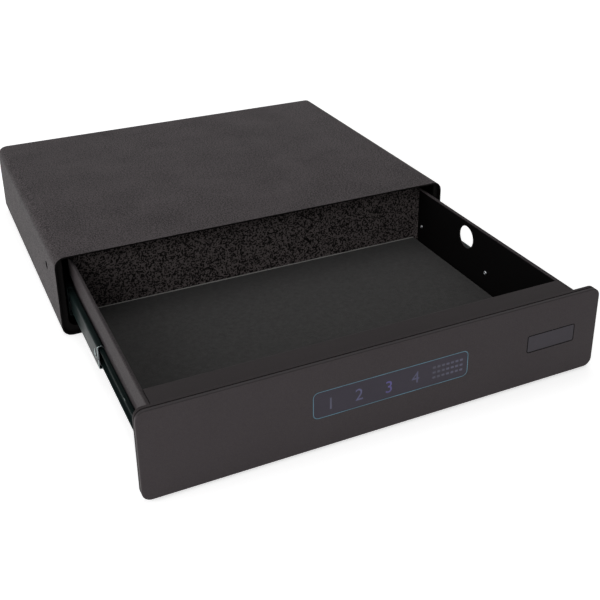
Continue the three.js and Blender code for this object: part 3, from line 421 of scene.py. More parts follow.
def bump(
    sheet: NodeSheet, shader: bpy.types.Node, height: bpy.types.NodeSocket, depth: float
) -> None:
    """Gives a shader a bump.

    Args:
        sheet: the material's node sheet.
        shader: the Principled BSDF.
        height: the height's output socket, from 0 to 1.
        depth: the height of 1, in metres.
    """
    node = sheet.add("ShaderNodeBump", {"Height": height, "Distance": depth, "Strength": 1.0})
    sheet.feed(shader, {"Normal": node.outputs[0]})


@dataclass(frozen=True)
class PowderCoat(Finish):
    """Baked powder paint with a pebbled skin, rubbed along its edges, with painted shade on faces
    marked for it.
    """

    grain: float = 900.0
    depth: float = 0.00006
    contrast: float = 0.25
    spread: float = 0.12
    roughness: float = 0.55
    uneven: tuple[float, float] = (-0.02, 0.03)
    gloss: float = 0.05
    wear: float = 0.1
    bare: Colour = (0.16, 0.16, 0.165)
    # How much of the colour is left where painted shade is marked.
    inside: float = 1.0
    clouds: float = 0.15

    def dress(self, sheet: NodeSheet, shader: bpy.types.Node) -> None:
        """Fills in the paint's nodes."""
        grain = Effects.node(sheet, "grain", Scale=self.grain, Clouds=self.clouds)
        smudge = Effects.node(sheet, "smudge", Scale=5.0).outputs["Mask"]
        wear = Effects.node(sheet, "wear", Amount=self.wear).outputs["Mask"]
        tone = sheet.stretch(grain.outputs["Tone"], self.spread)
        paint = self.shades(sheet, tone, self.contrast)
        # Painted shade: the colour darkened on faces marked for it.
        paint = sheet.blend(sheet.mask(PAINTED_SHADE_MASK), paint, self.tint(self.inside))
        least, most = (self.roughness + change for change in self.uneven)
        sheet.feed(shader, {
            "Base Color": sheet.blend(wear, paint, rgba(self.bare)),
            "Roughness": sheet.ramp(smudge, 0.0, 1.0, least, most),
            "Specular IOR Level": self.gloss,
        })
        bump(sheet, shader, grain.outputs["Height"], self.depth)


@dataclass(frozen=True)
class RolledMetal(Finish):
    """Bare or plated metal with rolling lines along Y, cloudy plating and rubbed edges, which on
    the slides are painted highlights as well.
    """

    roughness: float = 0.32
    uneven: tuple[float, float] = (-0.07, 0.1)
    streak: float = 0.18
    tarnish: Colour = (0.2, 0.21, 0.2)
    tarnished: float = 0.3
    wear: float = 0.0
    rubbed: Colour = (0.6, 0.68, 0.68)
    metal: float = 1.0
    gloss: float = 0.04
    depth: float = 0.00001

    def dress(self, sheet: NodeSheet, shader: bpy.types.Node) -> None:
        """Fills in the metal's nodes."""
        drawn = Effects.node(sheet, "drawn")
        smudge = Effects.node(sheet, "smudge", Scale=22.0).outputs["Mask"]
        metal = self.shades(sheet, sheet.stretch(drawn.outputs["Lines"], 0.15), self.streak)
        cloudy = sheet.math("MULTIPLY", smudge, self.tarnished)
        plated = sheet.blend(cloudy, metal, rgba(self.tarnish))
        wear = Effects.node(sheet, "wear", Amount=self.wear, Scale=60.0).outputs["Mask"]
        least, most = (self.roughness + change for change in self.uneven)
        sheet.feed(shader, {
            "Base Color": sheet.blend(wear, plated, rgba(self.rubbed)),
            "Metallic": sheet.ramp(wear, 0.0, 1.0, self.metal, 1.0),
            "Specular IOR Level": self.gloss,
            "Roughness": sheet.ramp(drawn.outputs["Lines"], 0.3, 0.7, least, most),
        })
        bump(sheet, shader, drawn.outputs["Height"], self.depth)


@dataclass(frozen=True)
class Moulding(Finish):
    """Moulded plastic or rubber with a fine spark-eroded skin and edges of a tone of their own,
    which on the lock cover paint shadow.
    """

    grain: float = 1600.0
    depth: float = 0.00002
    contrast: float = 0.12
    roughness: float = 0.5
    uneven: tuple[float, float] = (-0.05, 0.06)
    gloss: float = 0.5
    edge_tone: float = 1.0

    def dress(self, sheet: NodeSheet, shader: bpy.types.Node) -> None:
        """Fills in the plastic's nodes."""
        grain = Effects.node(sheet, "grain", Scale=self.grain, Mottle=30.0)
        smudge = Effects.node(sheet, "smudge", Scale=12.0).outputs["Mask"]
        skin = self.shades(sheet, sheet.stretch(grain.outputs["Tone"], 0.2), self.contrast)
        least, most = (self.roughness + change for change in self.uneven)
        sheet.feed(shader, {
            "Base Color": sheet.blend(sheet.mask(EDGE_MASK), skin, self.tint(self.edge_tone)),
            "Roughness": sheet.ramp(smudge, 0.0, 1.0, least, most),
            "Specular IOR Level": self.gloss,
        })
        bump(sheet, shader, grain.outputs["Height"], self.depth)


@dataclass(frozen=True)
class Felt(Finish):
    """Needled felt: short fibres, pale where it is cut."""

    fibre: float = 700.0
    depth: float = 0.0004
    contrast: float = 0.5
    cut_edge: Colour = (0.5, 0.49, 0.47)
    least_cut: float = 0.4
    roughness: float = 0.95
    sheen: float = 0.15
    gloss: float = 0.2

    def dress(self, sheet: NodeSheet, shader: bpy.types.Node) -> None:
        """Fills in the felt's nodes."""
        place = sheet.place()
        fibres = sheet.noise(place, self.fibre, 5.0, 0.75)
        tufts = sheet.noise(place, self.fibre * 0.2, 3.0, 0.6)
        nap = sheet.weigh(fibres, tufts, 0.65)
        cloth = self.shades(sheet, sheet.stretch(nap, 0.12), self.contrast)
        ends = sheet.ramp(fibres, 0.35, 0.6, self.least_cut, 1.0)
        frayed = sheet.math("MULTIPLY", sheet.mask(EDGE_MASK), ends)
        sheet.feed(shader, {
            "Base Color": sheet.blend(frayed, cloth, rgba(self.cut_edge)),
            "Roughness": self.roughness,
            "Sheen Weight": self.sheen,
            "Specular IOR Level": self.gloss,
        })
        bump(sheet, shader, nap, self.depth)


@dataclass(frozen=True)
class LitPlastic(Finish):
    """Clear or printed plastic lit from behind, uneven along its length, weaker at its edges."""

    glow: float = 0.3
    roughness: float = 0.3
    edge_tone: float = 0.3
    tones: tuple[float, float] = (0.6, 1.3)

    def dress(self, sheet: NodeSheet, shader: bpy.types.Node) -> None:
        """Fills in the lit plastic's nodes."""
        share = sheet.stretch(sheet.noise(sheet.place(), 25.0, 2.0), 0.15)
        light = sheet.blend(share, *(self.tint(tone) for tone in self.tones))
        light = sheet.blend(sheet.mask(EDGE_MASK), light, self.tint(self.edge_tone))
        sheet.feed(shader, {
            "Base Color": light,
            "Emission Color": light,
            "Emission Strength": self.glow,
            "Roughness": self.roughness,
        })


@dataclass(frozen=True)
class CircuitBoard(Finish):
    """Solder mask over copper tracks."""

    copper: Colour = (0.05, 0.22, 0.1)
    track_pitch: float = 320.0
    roughness: float = 0.35
    depth: float = 0.00003

    def dress(self, sheet: NodeSheet, shader: bpy.types.Node) -> None:
        """Fills in the board's nodes."""
        upright = {"Vector": sheet.place(), "Rotation": (math.pi / 2, 0.0, 0.0)}
        flat = sheet.add("ShaderNodeMapping", upright).outputs[0]
        bricks = sheet.add(
            "ShaderNodeTexBrick",
            {"Vector": flat, "Scale": self.track_pitch, "Mortar Size": 0.12, "Mortar Smooth": 0.2,
             "Color1": (0, 0, 0, 1), "Color2": (0.3, 0.3, 0.3, 1), "Mortar": (1, 1, 1, 1)},
            offset=0.37, squash=1.6,
        ).outputs["Fac"]
        sheet.feed(shader, {
            "Base Color": sheet.blend(bricks, rgba(self.colour), rgba(self.copper)),
            "Roughness": self.roughness,
        })
        bump(sheet, shader, bricks, self.depth)


# The casing's inner faces and cut front edge are darkened to 0.08 of its colour: painted shade.
CASING_COAT = PowderCoat(
    "casing_coat", (0.05, 0.043, 0.045), grain=560.0, contrast=0.8, inside=0.08
)
# The fascia's up-facing faces and the recess round the lock cover are darkened to half: painted
# shade.
FRONT_COAT = PowderCoat(
    "front_coat", (0.0665, 0.0572, 0.0605), grain=1500.0, depth=0.00002, contrast=0.12,
    gloss=0.1, inside=0.5,
)
# The pan's inner faces are darkened to 0.04 of its colour: painted shade.
PAN_COAT = PowderCoat(
    "pan_coat", (0.053, 0.046, 0.048), grain=620.0, contrast=0.35, inside=0.04, roughness=0.6
)
# The housing's coat is the front's paint at under half its brightness: painted shade. The front
# plate has it too.
HOUSING_SHADED_COAT = PowderCoat(
    "housing_coat", (0.0305, 0.0263, 0.0273), grain=1500.0, depth=0.00002, contrast=0.1
)
# The jamb's near-black coat is partly a dark coat and partly painted shade in the casing's mouth.
JAMB_COAT_AND_SHADE = PowderCoat(
    "jamb_coat", (0.005, 0.0045, 0.0045), grain=850.0, contrast=0.15, roughness=0.65
)
# The rear wall's coat is the casing's coat made lighter, as painted light against its shade, and
# its hard colour speckle paints raking light on its grain.
BACK_COAT_AND_PAINTED_LIGHT = PowderCoat(
    "coarse_coat", (0.066, 0.057, 0.056), grain=540.0, depth=0.0003, contrast=0.97,
    spread=0.035, roughness=0.7, clouds=0.05,
)
# The slides' pale teal rubbed edges are partly wear and partly painted highlights; the middle
# member's brighter ones paint its highlight line.
SLIDE_STEEL = RolledMetal(
    "slide_plating", (0.013, 0.02, 0.02), roughness=0.34, tarnish=(0.004, 0.01, 0.009),
    tarnished=0.7, wear=0.4, rubbed=(0.3, 0.35, 0.35), metal=0.0,
)
RUBBED_AND_GLINTING_SLIDE_STEEL = replace(
    SLIDE_STEEL, name="rubbed_slide_plating", wear=0.8, rubbed=(0.6, 0.7, 0.7)
)
ZINC = RolledMetal("zinc_plating", (0.42, 0.45, 0.46))
BRIGHT = RolledMetal("bright_plating", (0.42, 0.43, 0.45), roughness=0.3, tarnished=0.1)
BRASS = RolledMetal(
    "machined_brass", (0.62, 0.44, 0.18), roughness=0.25, tarnish=(0.2, 0.12, 0.05)
)
RUBBER = Moulding("black_rubber", (0.012, 0.012, 0.012), roughness=0.8, gloss=0.25)
BLACK_PLASTIC = Moulding("black_moulding", (0.018, 0.018, 0.02), roughness=0.45)
# Its edge_tone paints shadow on the step round the cover's pad.
COVER_PLASTIC = Moulding("cover_moulding", (0.0748, 0.0682, 0.0792), gloss=0.1, edge_tone=0.02)
ACRYLIC = Moulding(
    "touch_surface", (0.0523, 0.0458, 0.0621), grain=2500.0, depth=0.000002, roughness=0.4,
    gloss=0.15,
)
CELL_WRAP = Moulding(
    "cell_sleeve", (0.1, 0.11, 0.13), grain=2500.0, depth=0.000002, roughness=0.3
)
LINER = Felt("felt_liner", (0.028, 0.027, 0.0265), contrast=0.35)
BOARD = CircuitBoard("board_mask", (0.02, 0.12, 0.05))
LIGHT_LINE = LitPlastic("light_line", (0.06, 0.135, 0.185), glow=0.5)
DIGIT_FAINT = LitPlastic("digit_faint", (0.043, 0.043, 0.078), glow=0.25)
DIGIT_PRINT = LitPlastic("digit_print", (0.042, 0.042, 0.1), glow=0.3)
DIGIT_BRIGHT = LitPlastic("digit_bright", (0.048, 0.038, 0.16), glow=0.4)


# Meshes


def merged(node: str, whole_faces: bool = True) -> bmesh.types.BMesh:
    """A copy of a CAD node's mesh with its triangles joined up.

    Args:
        node: the CAD node's name.
        whole_faces: whether each flat face is made one, which a flat ring can't be.

    Returns:
        The new mesh.
    """
    shape = bmesh.new()
    shape.from_mesh(frame["nodes"][node].data)
    bmesh.ops.remove_doubles(shape, verts=shape.verts, dist=SAME_POINT)
    if whole_faces:
        bmesh.ops.dissolve_limit(
            shape, angle_limit=math.radians(FLAT_DEGREES), verts=shape.verts, edges=shape.edges,
            delimit={"NORMAL"},
        )
    return shape


def round_edges(shape: bmesh.types.BMesh, width: float, steps: int = PLAIN_STEPS) -> None:
    """Rounds a mesh's sharp edges and marks the rounding as an edge.

    Args:
        shape: the mesh.
        width: how far the rounding reaches from the edge.
        steps: faces across the rounding.
    """
    mask = shape.faces.layers.float.new(EDGE_MASK)
    least = math.radians(SHARP_DEGREES)
    sharp = [e for e in shape.edges if e.is_manifold and e.calc_face_angle(0.0) > least]
    made = bmesh.ops.bevel(
        shape, geom=sharp, offset=width, offset_type="OFFSET", segments=steps, profile=0.5,
        affect="EDGES", clamp_overlap=False, material=-1,
    )
    for face in made["faces"]:
        face[mask] = 1.0


def put_in_order(shape: bmesh.types.BMesh) -> None:
    """Sorts a mesh's points, edges and faces by place, so that each run gives the same order.

    Args:
        shape: the mesh.
    """
    for parts, place in (
        (shape.verts, lambda vert: vert.co),
        (shape.edges, lambda edge: edge.verts[0].co + edge.verts[1].co),
        (shape.faces, lambda face: face.calc_center_median()),
    ):
        ranked = sorted(parts, key=lambda part: tuple(round(c, ORDER_DIGITS) for c in place(part)))
        for number, part in enumerate(ranked):
            part.index = number
        parts.sort()


def mark_inner(shape: bmesh.types.BMesh, half_width: float, centre_height: float) -> None:
    """Marks for painted shade the faces of a long shell that look at its middle line, and its cut
    front edge.

    Args:
        shape: the mesh.
        half_width: faces further than this from X = 0 are left out.
        centre_height: the middle line's Z.
    """
    mask = shape.faces.layers.float.new(PAINTED_SHADE_MASK)
    for face in shape.faces:
        middle = face.calc_center_median()
        towards = Vector((-middle.x, 0.0, centre_height - middle.z)).normalized()
        looks_in = face.normal.dot(towards) > SLANTED_TO or face.normal.y < -FACING
        face[mask] = float(looks_in and abs(middle.x) < half_width)


def mark_upper(shape: bmesh.types.BMesh, low: Vector, high: Vector) -> None:
    """Marks for painted shade the faces of a mesh that look up, and all that lie within a box.

    Args:
        shape: the mesh.
        low: the box's lowest corner.
        high: its highest corner.
    """
    mask = shape.faces.layers.float.new(PAINTED_SHADE_MASK)
    for face in shape.faces:
        middle = face.calc_center_median()
        boxed = all(low[i] <= middle[i] <= high[i] for i in range(3))
        face[mask] = float(boxed or face.normal.z > FACING)


def add_piece(
    name: str, shape: bmesh.types.BMesh, body: str, finish: Finish,
    replaces: tuple[str, ...] = (),
) -> bpy.types.Object:
    """Makes a mesh a named piece that rides on a body.

    Args:
        name: the piece's name.
        shape: its mesh, which is used up.
        body: the CAD body that it rides on.
        finish: its finish.
        replaces: CAD nodes that it stands for.

    Returns:
        The new object.
    """
    for edge in shape.edges:
        edge.smooth = edge.calc_face_angle(0.0) < math.radians(SMOOTH_DEGREES)
    for face in shape.faces:
        face.smooth = True
    mesh = bpy.data.meshes.new(name)
    shape.to_mesh(mesh)
    shape.free()
    mesh.materials.append(finish.material())
    piece = bpy.data.objects.new(name, mesh)
    bpy.context.scene.collection.objects.link(piece)
    even = piece.modifiers.new("even_normals", "WEIGHTED_NORMAL")
    even.keep_sharp = True
    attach(piece, body)
    if replaces:
        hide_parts(*replaces)
    LOG.info("%s rides on %s", name, body)
    return piece


def stand_in(
    node: str, shape: bmesh.types.BMesh, finish: Finish, ending: str = "rounded"
) -> bpy.types.Object:
    """Stands a worked copy in for a CAD node, on the same body.

    Args:
        node: the CAD node's name.
        shape: the copy's mesh, which is used up.
        finish: its finish.
        ending: what is added to the node's name.

    Returns:
        The new piece.
    """
    return add_piece(f"{node}_{ending}", shape, BODY_OF[node], finish, (node,))


def rounded_node(
    node: str, finish: Finish, width: float, whole_faces: bool = True
) -> bpy.types.Object:
    """Stands a rounded copy in for a CAD node.

    Args:
        node: the CAD node's name.
        finish: its finish.
        width: how far its roundings reach.
        whole_faces: whether each flat face is made one first.

    Returns:
        The new piece.
    """
    shape = merged(node, whole_faces)
    round_edges(shape, width)
    return stand_in(node, shape, finish)


def dress_node(node: str, finish: Finish) -> None:
    """Gives a CAD node that stays as it is its finish.

    Args:
        node: the CAD node's name.
        finish: its finish.
    """
    for slot in frame["nodes"][node].material_slots:
        slot.material = finish.material()


def turned(profile: list[tuple[float, float]], steps: int) -> bmesh.types.BMesh:
    """Turns a profile about the Z axis.

    Args:
        profile: points as (radius, height), from one end on the axis to the other.
        steps: faces round.

    Returns:
        The turned mesh, closed, with its faces outwards.
    """
    shape = bmesh.new()
    rings = []
    for radius, height in profile:
        turns = [2 * math.pi * step / steps for step in range(steps if radius else 1)]
        rings.append([
            shape.verts.new((radius * math.cos(turn), radius * math.sin(turn), height))
            for turn in turns
        ])
    for lower, upper in zip(rings, rings[1:]):
        for step in range(steps):
            corners = [lower[step % len(lower)], lower[(step + 1) % len(lower)],
                       upper[(step + 1) % len(upper)], upper[step % len(upper)]]
            shape.faces.new(list(dict.fromkeys(corners)))
    return shape


def join_into(whole: bmesh.types.BMesh, part: bmesh.types.BMesh) -> None:
    """Adds one mesh to another and uses it up.

    Args:
        whole: the mesh that grows.
        part: the mesh that is added.
    """
    carrier = bpy.data.meshes.new("carrier")
    part.to_mesh(carrier)
    part.free()
    whole.from_mesh(carrier)
    bpy.data.meshes.remove(carrier)


@dataclass(frozen=True)
class Head:
    """A round screw or rivet head with a socket in its middle."""

    radius: float
    height: float

    def at(self, centre: Vector, outwards: Vector) -> bmesh.types.BMesh:
        """One head.

        Args:
            centre: the middle of the head's seat.
            outwards: the unit vector that the head faces along.

        Returns:
            The head's mesh.
        """
        profile = [(across * self.radius, up * self.height) for across, up in HEAD_OUTLINE]
        head = turned(profile, HEAD_STEPS)
        turn = Vector((0, 0, 1)).rotation_difference(outwards).to_matrix().to_4x4()
        bmesh.ops.transform(head, matrix=Matrix.Translation(centre) @ turn, verts=head.verts)
        return head

    def row(self, places: list[Vector], outwards: Vector) -> bmesh.types.BMesh:
        """Several like heads as one mesh.

        Args:
            places: the middle of each head's seat.
            outwards: the unit vector that the heads face along.

        Returns:
            The mesh of all the heads.
        """
        row = bmesh.new()
        for place in places:
            join_into(row, self.at(place, outwards))
        return row


# Sub-assemblies


@dataclass
class Casing:
    """The folded casing, its rear wall, the jamb, the strikes and the slides' brackets."""

    edge: float = 0.4 * MM
    strike_edge: float = 0.5 * MM
    bracket_edge: float = 0.2 * MM

    def build(self) -> None:
        """Rounds and paints the casing's sheets."""
        wrap = merged("casing_wrap")
        round_edges(wrap, self.edge)
        low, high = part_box("casing_wrap")
        # Painted shade on the wrap's inner faces and its cut front edge.
        mark_inner(wrap, high[0], (low[2] + high[2]) / 2)
        stand_in("casing_wrap", wrap, CASING_COAT)
        rounded_node("casing_back", CASING_COAT, self.edge)
        # The jamb's near-black coat is partly painted shade.
        rounded_node("casing_jamb", JAMB_COAT_AND_SHADE, self.edge, whole_faces=False)
        for side in Side:
            rounded_node(f"strike_{side.word}", BRIGHT, self.strike_edge)
            rounded_node(f"slide_bracket_{side.word}", SLIDE_STEEL, self.bracket_edge)


@dataclass
class Slides:
    """The three-part ball-bearing slides at both sides, with their screws and rivets.

    hole_shares says where a member's holes lie along it, and seat_sink how deep the seat of a
    screw's head lies in the member.
    """

    edge: float = 0.35 * MM
    screw: Head = Head(2.85 * MM, 0.9 * MM)
    rivet: Head = Head(3.4 * MM, 1.5 * MM)
    seat_sink: float = 0.1 * MM
    hole_shares: tuple[float, ...] = (0.04, 0.5, 0.96)
    # The middle member's finish paints a brighter highlight along its edges.
    members: dict[str, Finish] = field(default_factory=lambda: {
        "outer": SLIDE_STEEL, "middle": RUBBED_AND_GLINTING_SLIDE_STEEL, "inner": SLIDE_STEEL,
    })

    def hole_places(self, node: str, x: float) -> list[Vector]:
        """The middles of a member's holes.

        Args:
            node: the member's CAD node.
            x: the wanted X of the places.

        Returns:
            One place for each hole.
        """
        low, high = (Vector(corner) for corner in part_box(node))
        height, length = (low.z + high.z) / 2, high.y - low.y
        return [Vector((x, low.y + share * length, height)) for share in self.hole_shares]

    def build(self) -> None:
        """Rounds and plates the members and cages and adds their screws and rivets."""
        for side in Side:
            for member, finish in self.members.items():
                rounded_node(f"slide_{member}_{side.word}", finish, self.edge)
            for cage in ("outer", "inner"):
                dress_node(f"ball_cage_{cage}_{side.word}", BRIGHT)
            self.fasten(side)

    def fasten(self, side: Side) -> None:
        """Adds one side's screws and rivets.

        Args:
            side: the side.
        """
        outer, inner = f"slide_outer_{side.word}", f"slide_inner_{side.word}"
        outer_web = max(abs(corner[0]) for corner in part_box(outer)) - self.seat_sink
        inner_web = min(abs(corner[0]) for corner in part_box(inner)) + self.seat_sink
        outwards = Vector((side.value, 0, 0))
        rows = (
            ("casing_screws", "casing", self.screw, -outwards,
             self.hole_places(outer, side.value * outer_web)),
            ("drawer_screws", "drawer", self.screw, outwards,
             self.hole_places(inner, side.value * inner_web)),
            ("drawer_rivets", "drawer", self.rivet, -outwards,
             self.hole_places(inner, side.value * PAN_INNER_HALF)[1:]),
        )
        for name, body, head, facing, seats in rows:
            shape = head.row(seats, facing)
            add_piece(f"{name}_{side.word}", shape, body, BRIGHT)


@dataclass
class Drawer:
    """The drawer's pan, rear wall and liner.

    The outer wall of each rail lies beyond rail_wall, and moves inwards by rail_shift. The pan's
    inner faces get painted shade, and rail_shade is how much of it the rails' top faces take. lap
    is how much of the liner's rear is pale, and side_fray how pale its other edges are.
    """

    edge: float = 0.3 * MM
    mark_margin: float = 0.1 * MM
    rail_wall: float = 295.1 * MM
    rail_shift: float = 2.5 * MM
    rail_shade: float = 0.42
    felt_edge: float = 0.8 * MM
    lap: float = 3.5 * MM
    side_fray: float = 0.1

    def build(self) -> None:
        """Rounds and dresses the drawer's sheets and lays the liner."""
        pan = merged("drawer_pan")
        for vert in pan.verts:
            if abs(vert.co.x) > self.rail_wall:
                vert.co.x -= math.copysign(self.rail_shift, vert.co.x)
        round_edges(pan, self.edge)
        low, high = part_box("drawer_pan")
        # Painted shade on the pan's inner faces, and rail_shade of it on the rails' top faces.
        mark_inner(pan, PAN_INNER_HALF + self.mark_margin, (low[2] + high[2]) / 2)
        mask = pan.faces.layers.float[PAINTED_SHADE_MASK]
        for face in pan.faces:
            if face.normal.z > SQUARE_TO and face.calc_center_median().z > high[2] - MM:
                face[mask] = self.rail_shade
        stand_in("drawer_pan", pan, PAN_COAT)
        rounded_node("drawer_back", BACK_COAT_AND_PAINTED_LIGHT, self.edge, whole_faces=False)
        self.lay_liner()

    def lay_liner(self) -> None:
        """Lays the felt, pale along a strip at its rear edge."""
        liner = merged("drawer_mat")
        round_edges(liner, self.felt_edge, FINE_STEPS)
        mask = liner.faces.layers.float[EDGE_MASK]
        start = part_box("drawer_mat")[1][1] - self.lap
        bmesh.ops.bisect_plane(
            liner, geom=liner.verts[:] + liner.edges[:] + liner.faces[:],
            plane_co=(0.0, start, 0.0), plane_no=(0.0, 1.0, 0.0),
        )
        for face in liner.faces:
            behind = face.calc_center_median().y > start
            face[mask] = 1.0 if behind else self.side_fray * face[mask]
        put_in_order(liner)
        mat = add_piece("felt_mat", liner, "drawer", LINER, ("drawer_mat",))


@dataclass
class KeypadMarks:
    """The four numbers and the small marks printed on the touch surface.

    Each digit has its text, its middle's X and Z and its finish. thickness is how far a mark
    stands out from the touch surface, and bar_round the rounding of a bar's corners as a share
    of its height.
    """

    digits: tuple[tuple[str, float, float, Finish], ...] = (
        ("1", -81.2 * MM, 62.8 * MM, DIGIT_FAINT),
        ("2", -43.2 * MM, 63.6 * MM, DIGIT_PRINT),
        ("3", -2.2 * MM, 62.0 * MM, DIGIT_BRIGHT),
        ("4", 35.2 * MM, 64.2 * MM, DIGIT_PRINT),
    )
    size: float = 23.5 * MM
    thickness: float = 0.03 * MM
    bar_rows: tuple[float, ...] = (57.6 * MM, 64.8 * MM, 72.0 * MM)
    bar_from: float = 58.5 * MM
    bar_pitch: float = 6.6 * MM
    bars: int = 7
    bar_size: tuple[float, float] = (4.6 * MM, 3.2 * MM)
    bar_round: float = 0.3

    def digit(self, text: str, x: float, z: float, face: float) -> bmesh.types.BMesh:
        """One number, standing upright on the touch surface.

        Args:
            text: the number.
            x: its middle's X.
            z: its middle's Z.
            face: the touch surface's Y.

        Returns:
            The number's mesh.
        """
        letter = bpy.data.curves.new("digit", "FONT")
        letter.body = text
        letter.size = self.size
        letter.extrude = self.thickness
        letter.align_x = "CENTER"
        letter.align_y = "CENTER"
        holder = bpy.data.objects.new("digit", letter)
        bpy.context.scene.collection.objects.link(holder)
        evaluated = holder.evaluated_get(bpy.context.evaluated_depsgraph_get())
        mesh = bpy.data.meshes.new_from_object(evaluated)
        bpy.data.objects.remove(holder)
        shape = bmesh.new()
        shape.from_mesh(mesh)
        bpy.data.meshes.remove(mesh)
        bmesh.ops.remove_doubles(shape, verts=shape.verts, dist=SAME_POINT)
        upright = Matrix.Translation((x, face, z)) @ Matrix.Rotation(math.pi / 2, 4, "X")
        bmesh.ops.transform(shape, matrix=upright, verts=shape.verts)
        return shape

    def build(self) -> None:
        """Prints the numbers and the rows of bars."""
        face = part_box("keypad_lens")[0][1]
        for text, x, z, finish in self.digits:
            shape = self.digit(text, x, z, face)
            add_piece(f"keypad_digit_{text}", shape, "drawer", finish)
        bars = bmesh.new()
        wide, high = self.bar_size
        stretch = Matrix.Diagonal((wide, 2 * self.thickness, high, 1.0))
        for row in self.bar_rows:
            for number in range(self.bars):
                middle = (self.bar_from + (number + 0.5) * self.bar_pitch, face, row)
                place = Matrix.Translation(middle) @ stretch
                bmesh.ops.create_cube(bars, size=1.0, matrix=place)
        corners = [
            edge for edge in bars.edges
            if abs((edge.verts[0].co - edge.verts[1].co).y) > self.thickness
        ]
        bmesh.ops.bevel(
            bars, geom=corners, offset=self.bar_round * high, segments=FINE_STEPS,
            profile=0.5, affect="EDGES", material=-1,
        )
        add_piece("keypad_marks", bars, "drawer", DIGIT_FAINT)


@dataclass
class Front:
    """The drawer's layered front, its keypad and the cover over the emergency lock.

    The cover has a step of step_width and step_height round its pad, which gets painted shadow,
    and faces within pad_margin of its front belong to the pad. recess is how far beyond the cover
    the fascia's faces are looked for that get painted shade round its recess.
    """

    plate_edge: float = 0.3 * MM
    gasket_edge: float = 0.1 * MM
    fascia_edge: float = 0.25 * MM
    guide_edge: float = 0.32 * MM
    lens_edge: float = 0.1 * MM
    cover_edge: float = 0.1 * MM
    step_width: float = 0.9 * MM
    step_height: float = 0.45 * MM
    pad_margin: float = 0.01 * MM
    recess: float = 1.0 * MM
    marks: KeypadMarks = field(default_factory=KeypadMarks)

    def build(self) -> None:
        """Rounds and dresses the front's layers."""
        rounded_node("front_plate", HOUSING_SHADED_COAT, self.plate_edge)
        rounded_node("front_gasket", RUBBER, self.gasket_edge)
        fascia = merged("front_fascia")
        round_edges(fascia, self.fascia_edge, FINE_STEPS)
        # Painted shade on the fascia's up-facing faces and round the lock cover's recess.
        low, high = (Vector(corner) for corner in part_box("lock_cover"))
        reach = Vector((self.recess, 0.0, self.recess))
        mark_upper(fascia, low - reach, high + reach + Vector((0.0, self.recess, 0.0)))
        stand_in("front_fascia", fascia, FRONT_COAT)
        rounded_node("keypad_light_guide", LIGHT_LINE, self.guide_edge)
        rounded_node("keypad_lens", ACRYLIC, self.lens_edge)
        self.raise_cover()
        dress_node("keypad_board", BOARD)
        self.marks.build()

    def raise_cover(self) -> None:
        """Gives the lock cover its raised pad, with painted shadow on the step round it."""
        cover = merged("lock_cover")
        pad = min(cover.faces, key=lambda face: face.calc_center_median().y)
        bmesh.ops.inset_region(
            cover, faces=[pad], thickness=self.step_width, use_even_offset=True
        )
        bmesh.ops.translate(cover, verts=pad.verts, vec=Vector((0.0, -self.step_height, 0.0)))
        round_edges(cover, self.cover_edge)
        # The step round the pad, behind its front, is marked for painted shadow.
        mask = cover.faces.layers.float[EDGE_MASK]
        pad_front = min(vert.co.y for vert in cover.verts) + self.pad_margin
        for face in cover.faces:
            face[mask] = float(face.calc_center_median().y > pad_front)
        stand_in("lock_cover", cover, COVER_PLASTIC, "raised")


@dataclass
class LockWork:
    """The housing, the bolts and their drive, the electronics and the emergency lock."""

    edge: float = 0.25 * MM
    finishes: tuple[tuple[Finish, tuple[str, ...]], ...] = (
        (HOUSING_SHADED_COAT, ("lock_housing",)),
        (ZINC, ("lock_chassis", "lock_nut", "bolt_guide_left", "bolt_guide_right")),
        (BLACK_PLASTIC, ("lock_motor", "battery_tray", "battery_door")),
        (BRASS, ("lock_pinion", "lock_cylinder", "lock_plug")),
        (BRIGHT, ("bolt_left", "bolt_right")),
        (BOARD, ("control_board",)),
        (CELL_WRAP, tuple(f"battery_cell_{number}" for number in range(1, 5))),
    )

    def build(self) -> None:
        """Rounds and dresses what lies behind the front."""
        for finish, nodes in self.finishes:
            for node in nodes:
                rounded_node(node, finish, self.edge)


# Studio


@dataclass
class PhotoCamera:
    """The camera at the photograph's place, which was solved from its straight edges."""

    azimuth: float = -24.624
    elevation: float = 23.739
    roll: float = -0.698
    place: tuple[float, float, float] = (-0.4987, -1.4725, 0.7350)
    lens: float = 56.939
    sensor: float = 36.0
    shift: tuple[float, float] = (0.0, -0.1667)

    def build(self) -> None:
        """Makes the camera and hands it to the scene."""
        turn, rise = math.radians(self.azimuth), math.radians(self.elevation)
        level = math.cos(rise)
        back = Vector((math.sin(turn) * level, -math.cos(turn) * level, math.sin(rise)))
        data = bpy.data.cameras.new("photo_camera")
        data.sensor_width = self.sensor
        data.lens = self.lens
        data.shift_x, data.shift_y = self.shift
        camera = bpy.data.objects.new("photo_camera", data)
        camera.rotation_mode = "QUATERNION"
        tilt = Matrix.Rotation(math.radians(self.roll), 3, "Z").to_quaternion()
        camera.rotation_quaternion = (-back).to_track_quat("-Z", "Y") @ tilt
        camera.location = self.place
        bpy.context.scene.collection.objects.link(camera)
        bpy.context.scene.camera = camera


@dataclass(frozen=True)
class Lamp:
    """One soft lamp: where it stands, its size, its power and its place to aim at."""

    name: str
    place: tuple[float, float, float]
    size: float
    power: float
    aim: tuple[float, float, float] = (0.0, -0.15, 0.05)

    def build(self) -> None:
        """Makes the lamp."""
        data = bpy.data.lights.new(self.name, "AREA")
        data.shape = "SQUARE"
        data.size = self.size
        data.energy = self.power
        lamp = bpy.data.objects.new(self.name, data)
        lamp.location = self.place
        aim = Vector(self.aim) - Vector(self.place)
        lamp.rotation_euler = aim.to_track_quat("-Z", "Y").to_euler()
        bpy.context.scene.collection.objects.link(lamp)


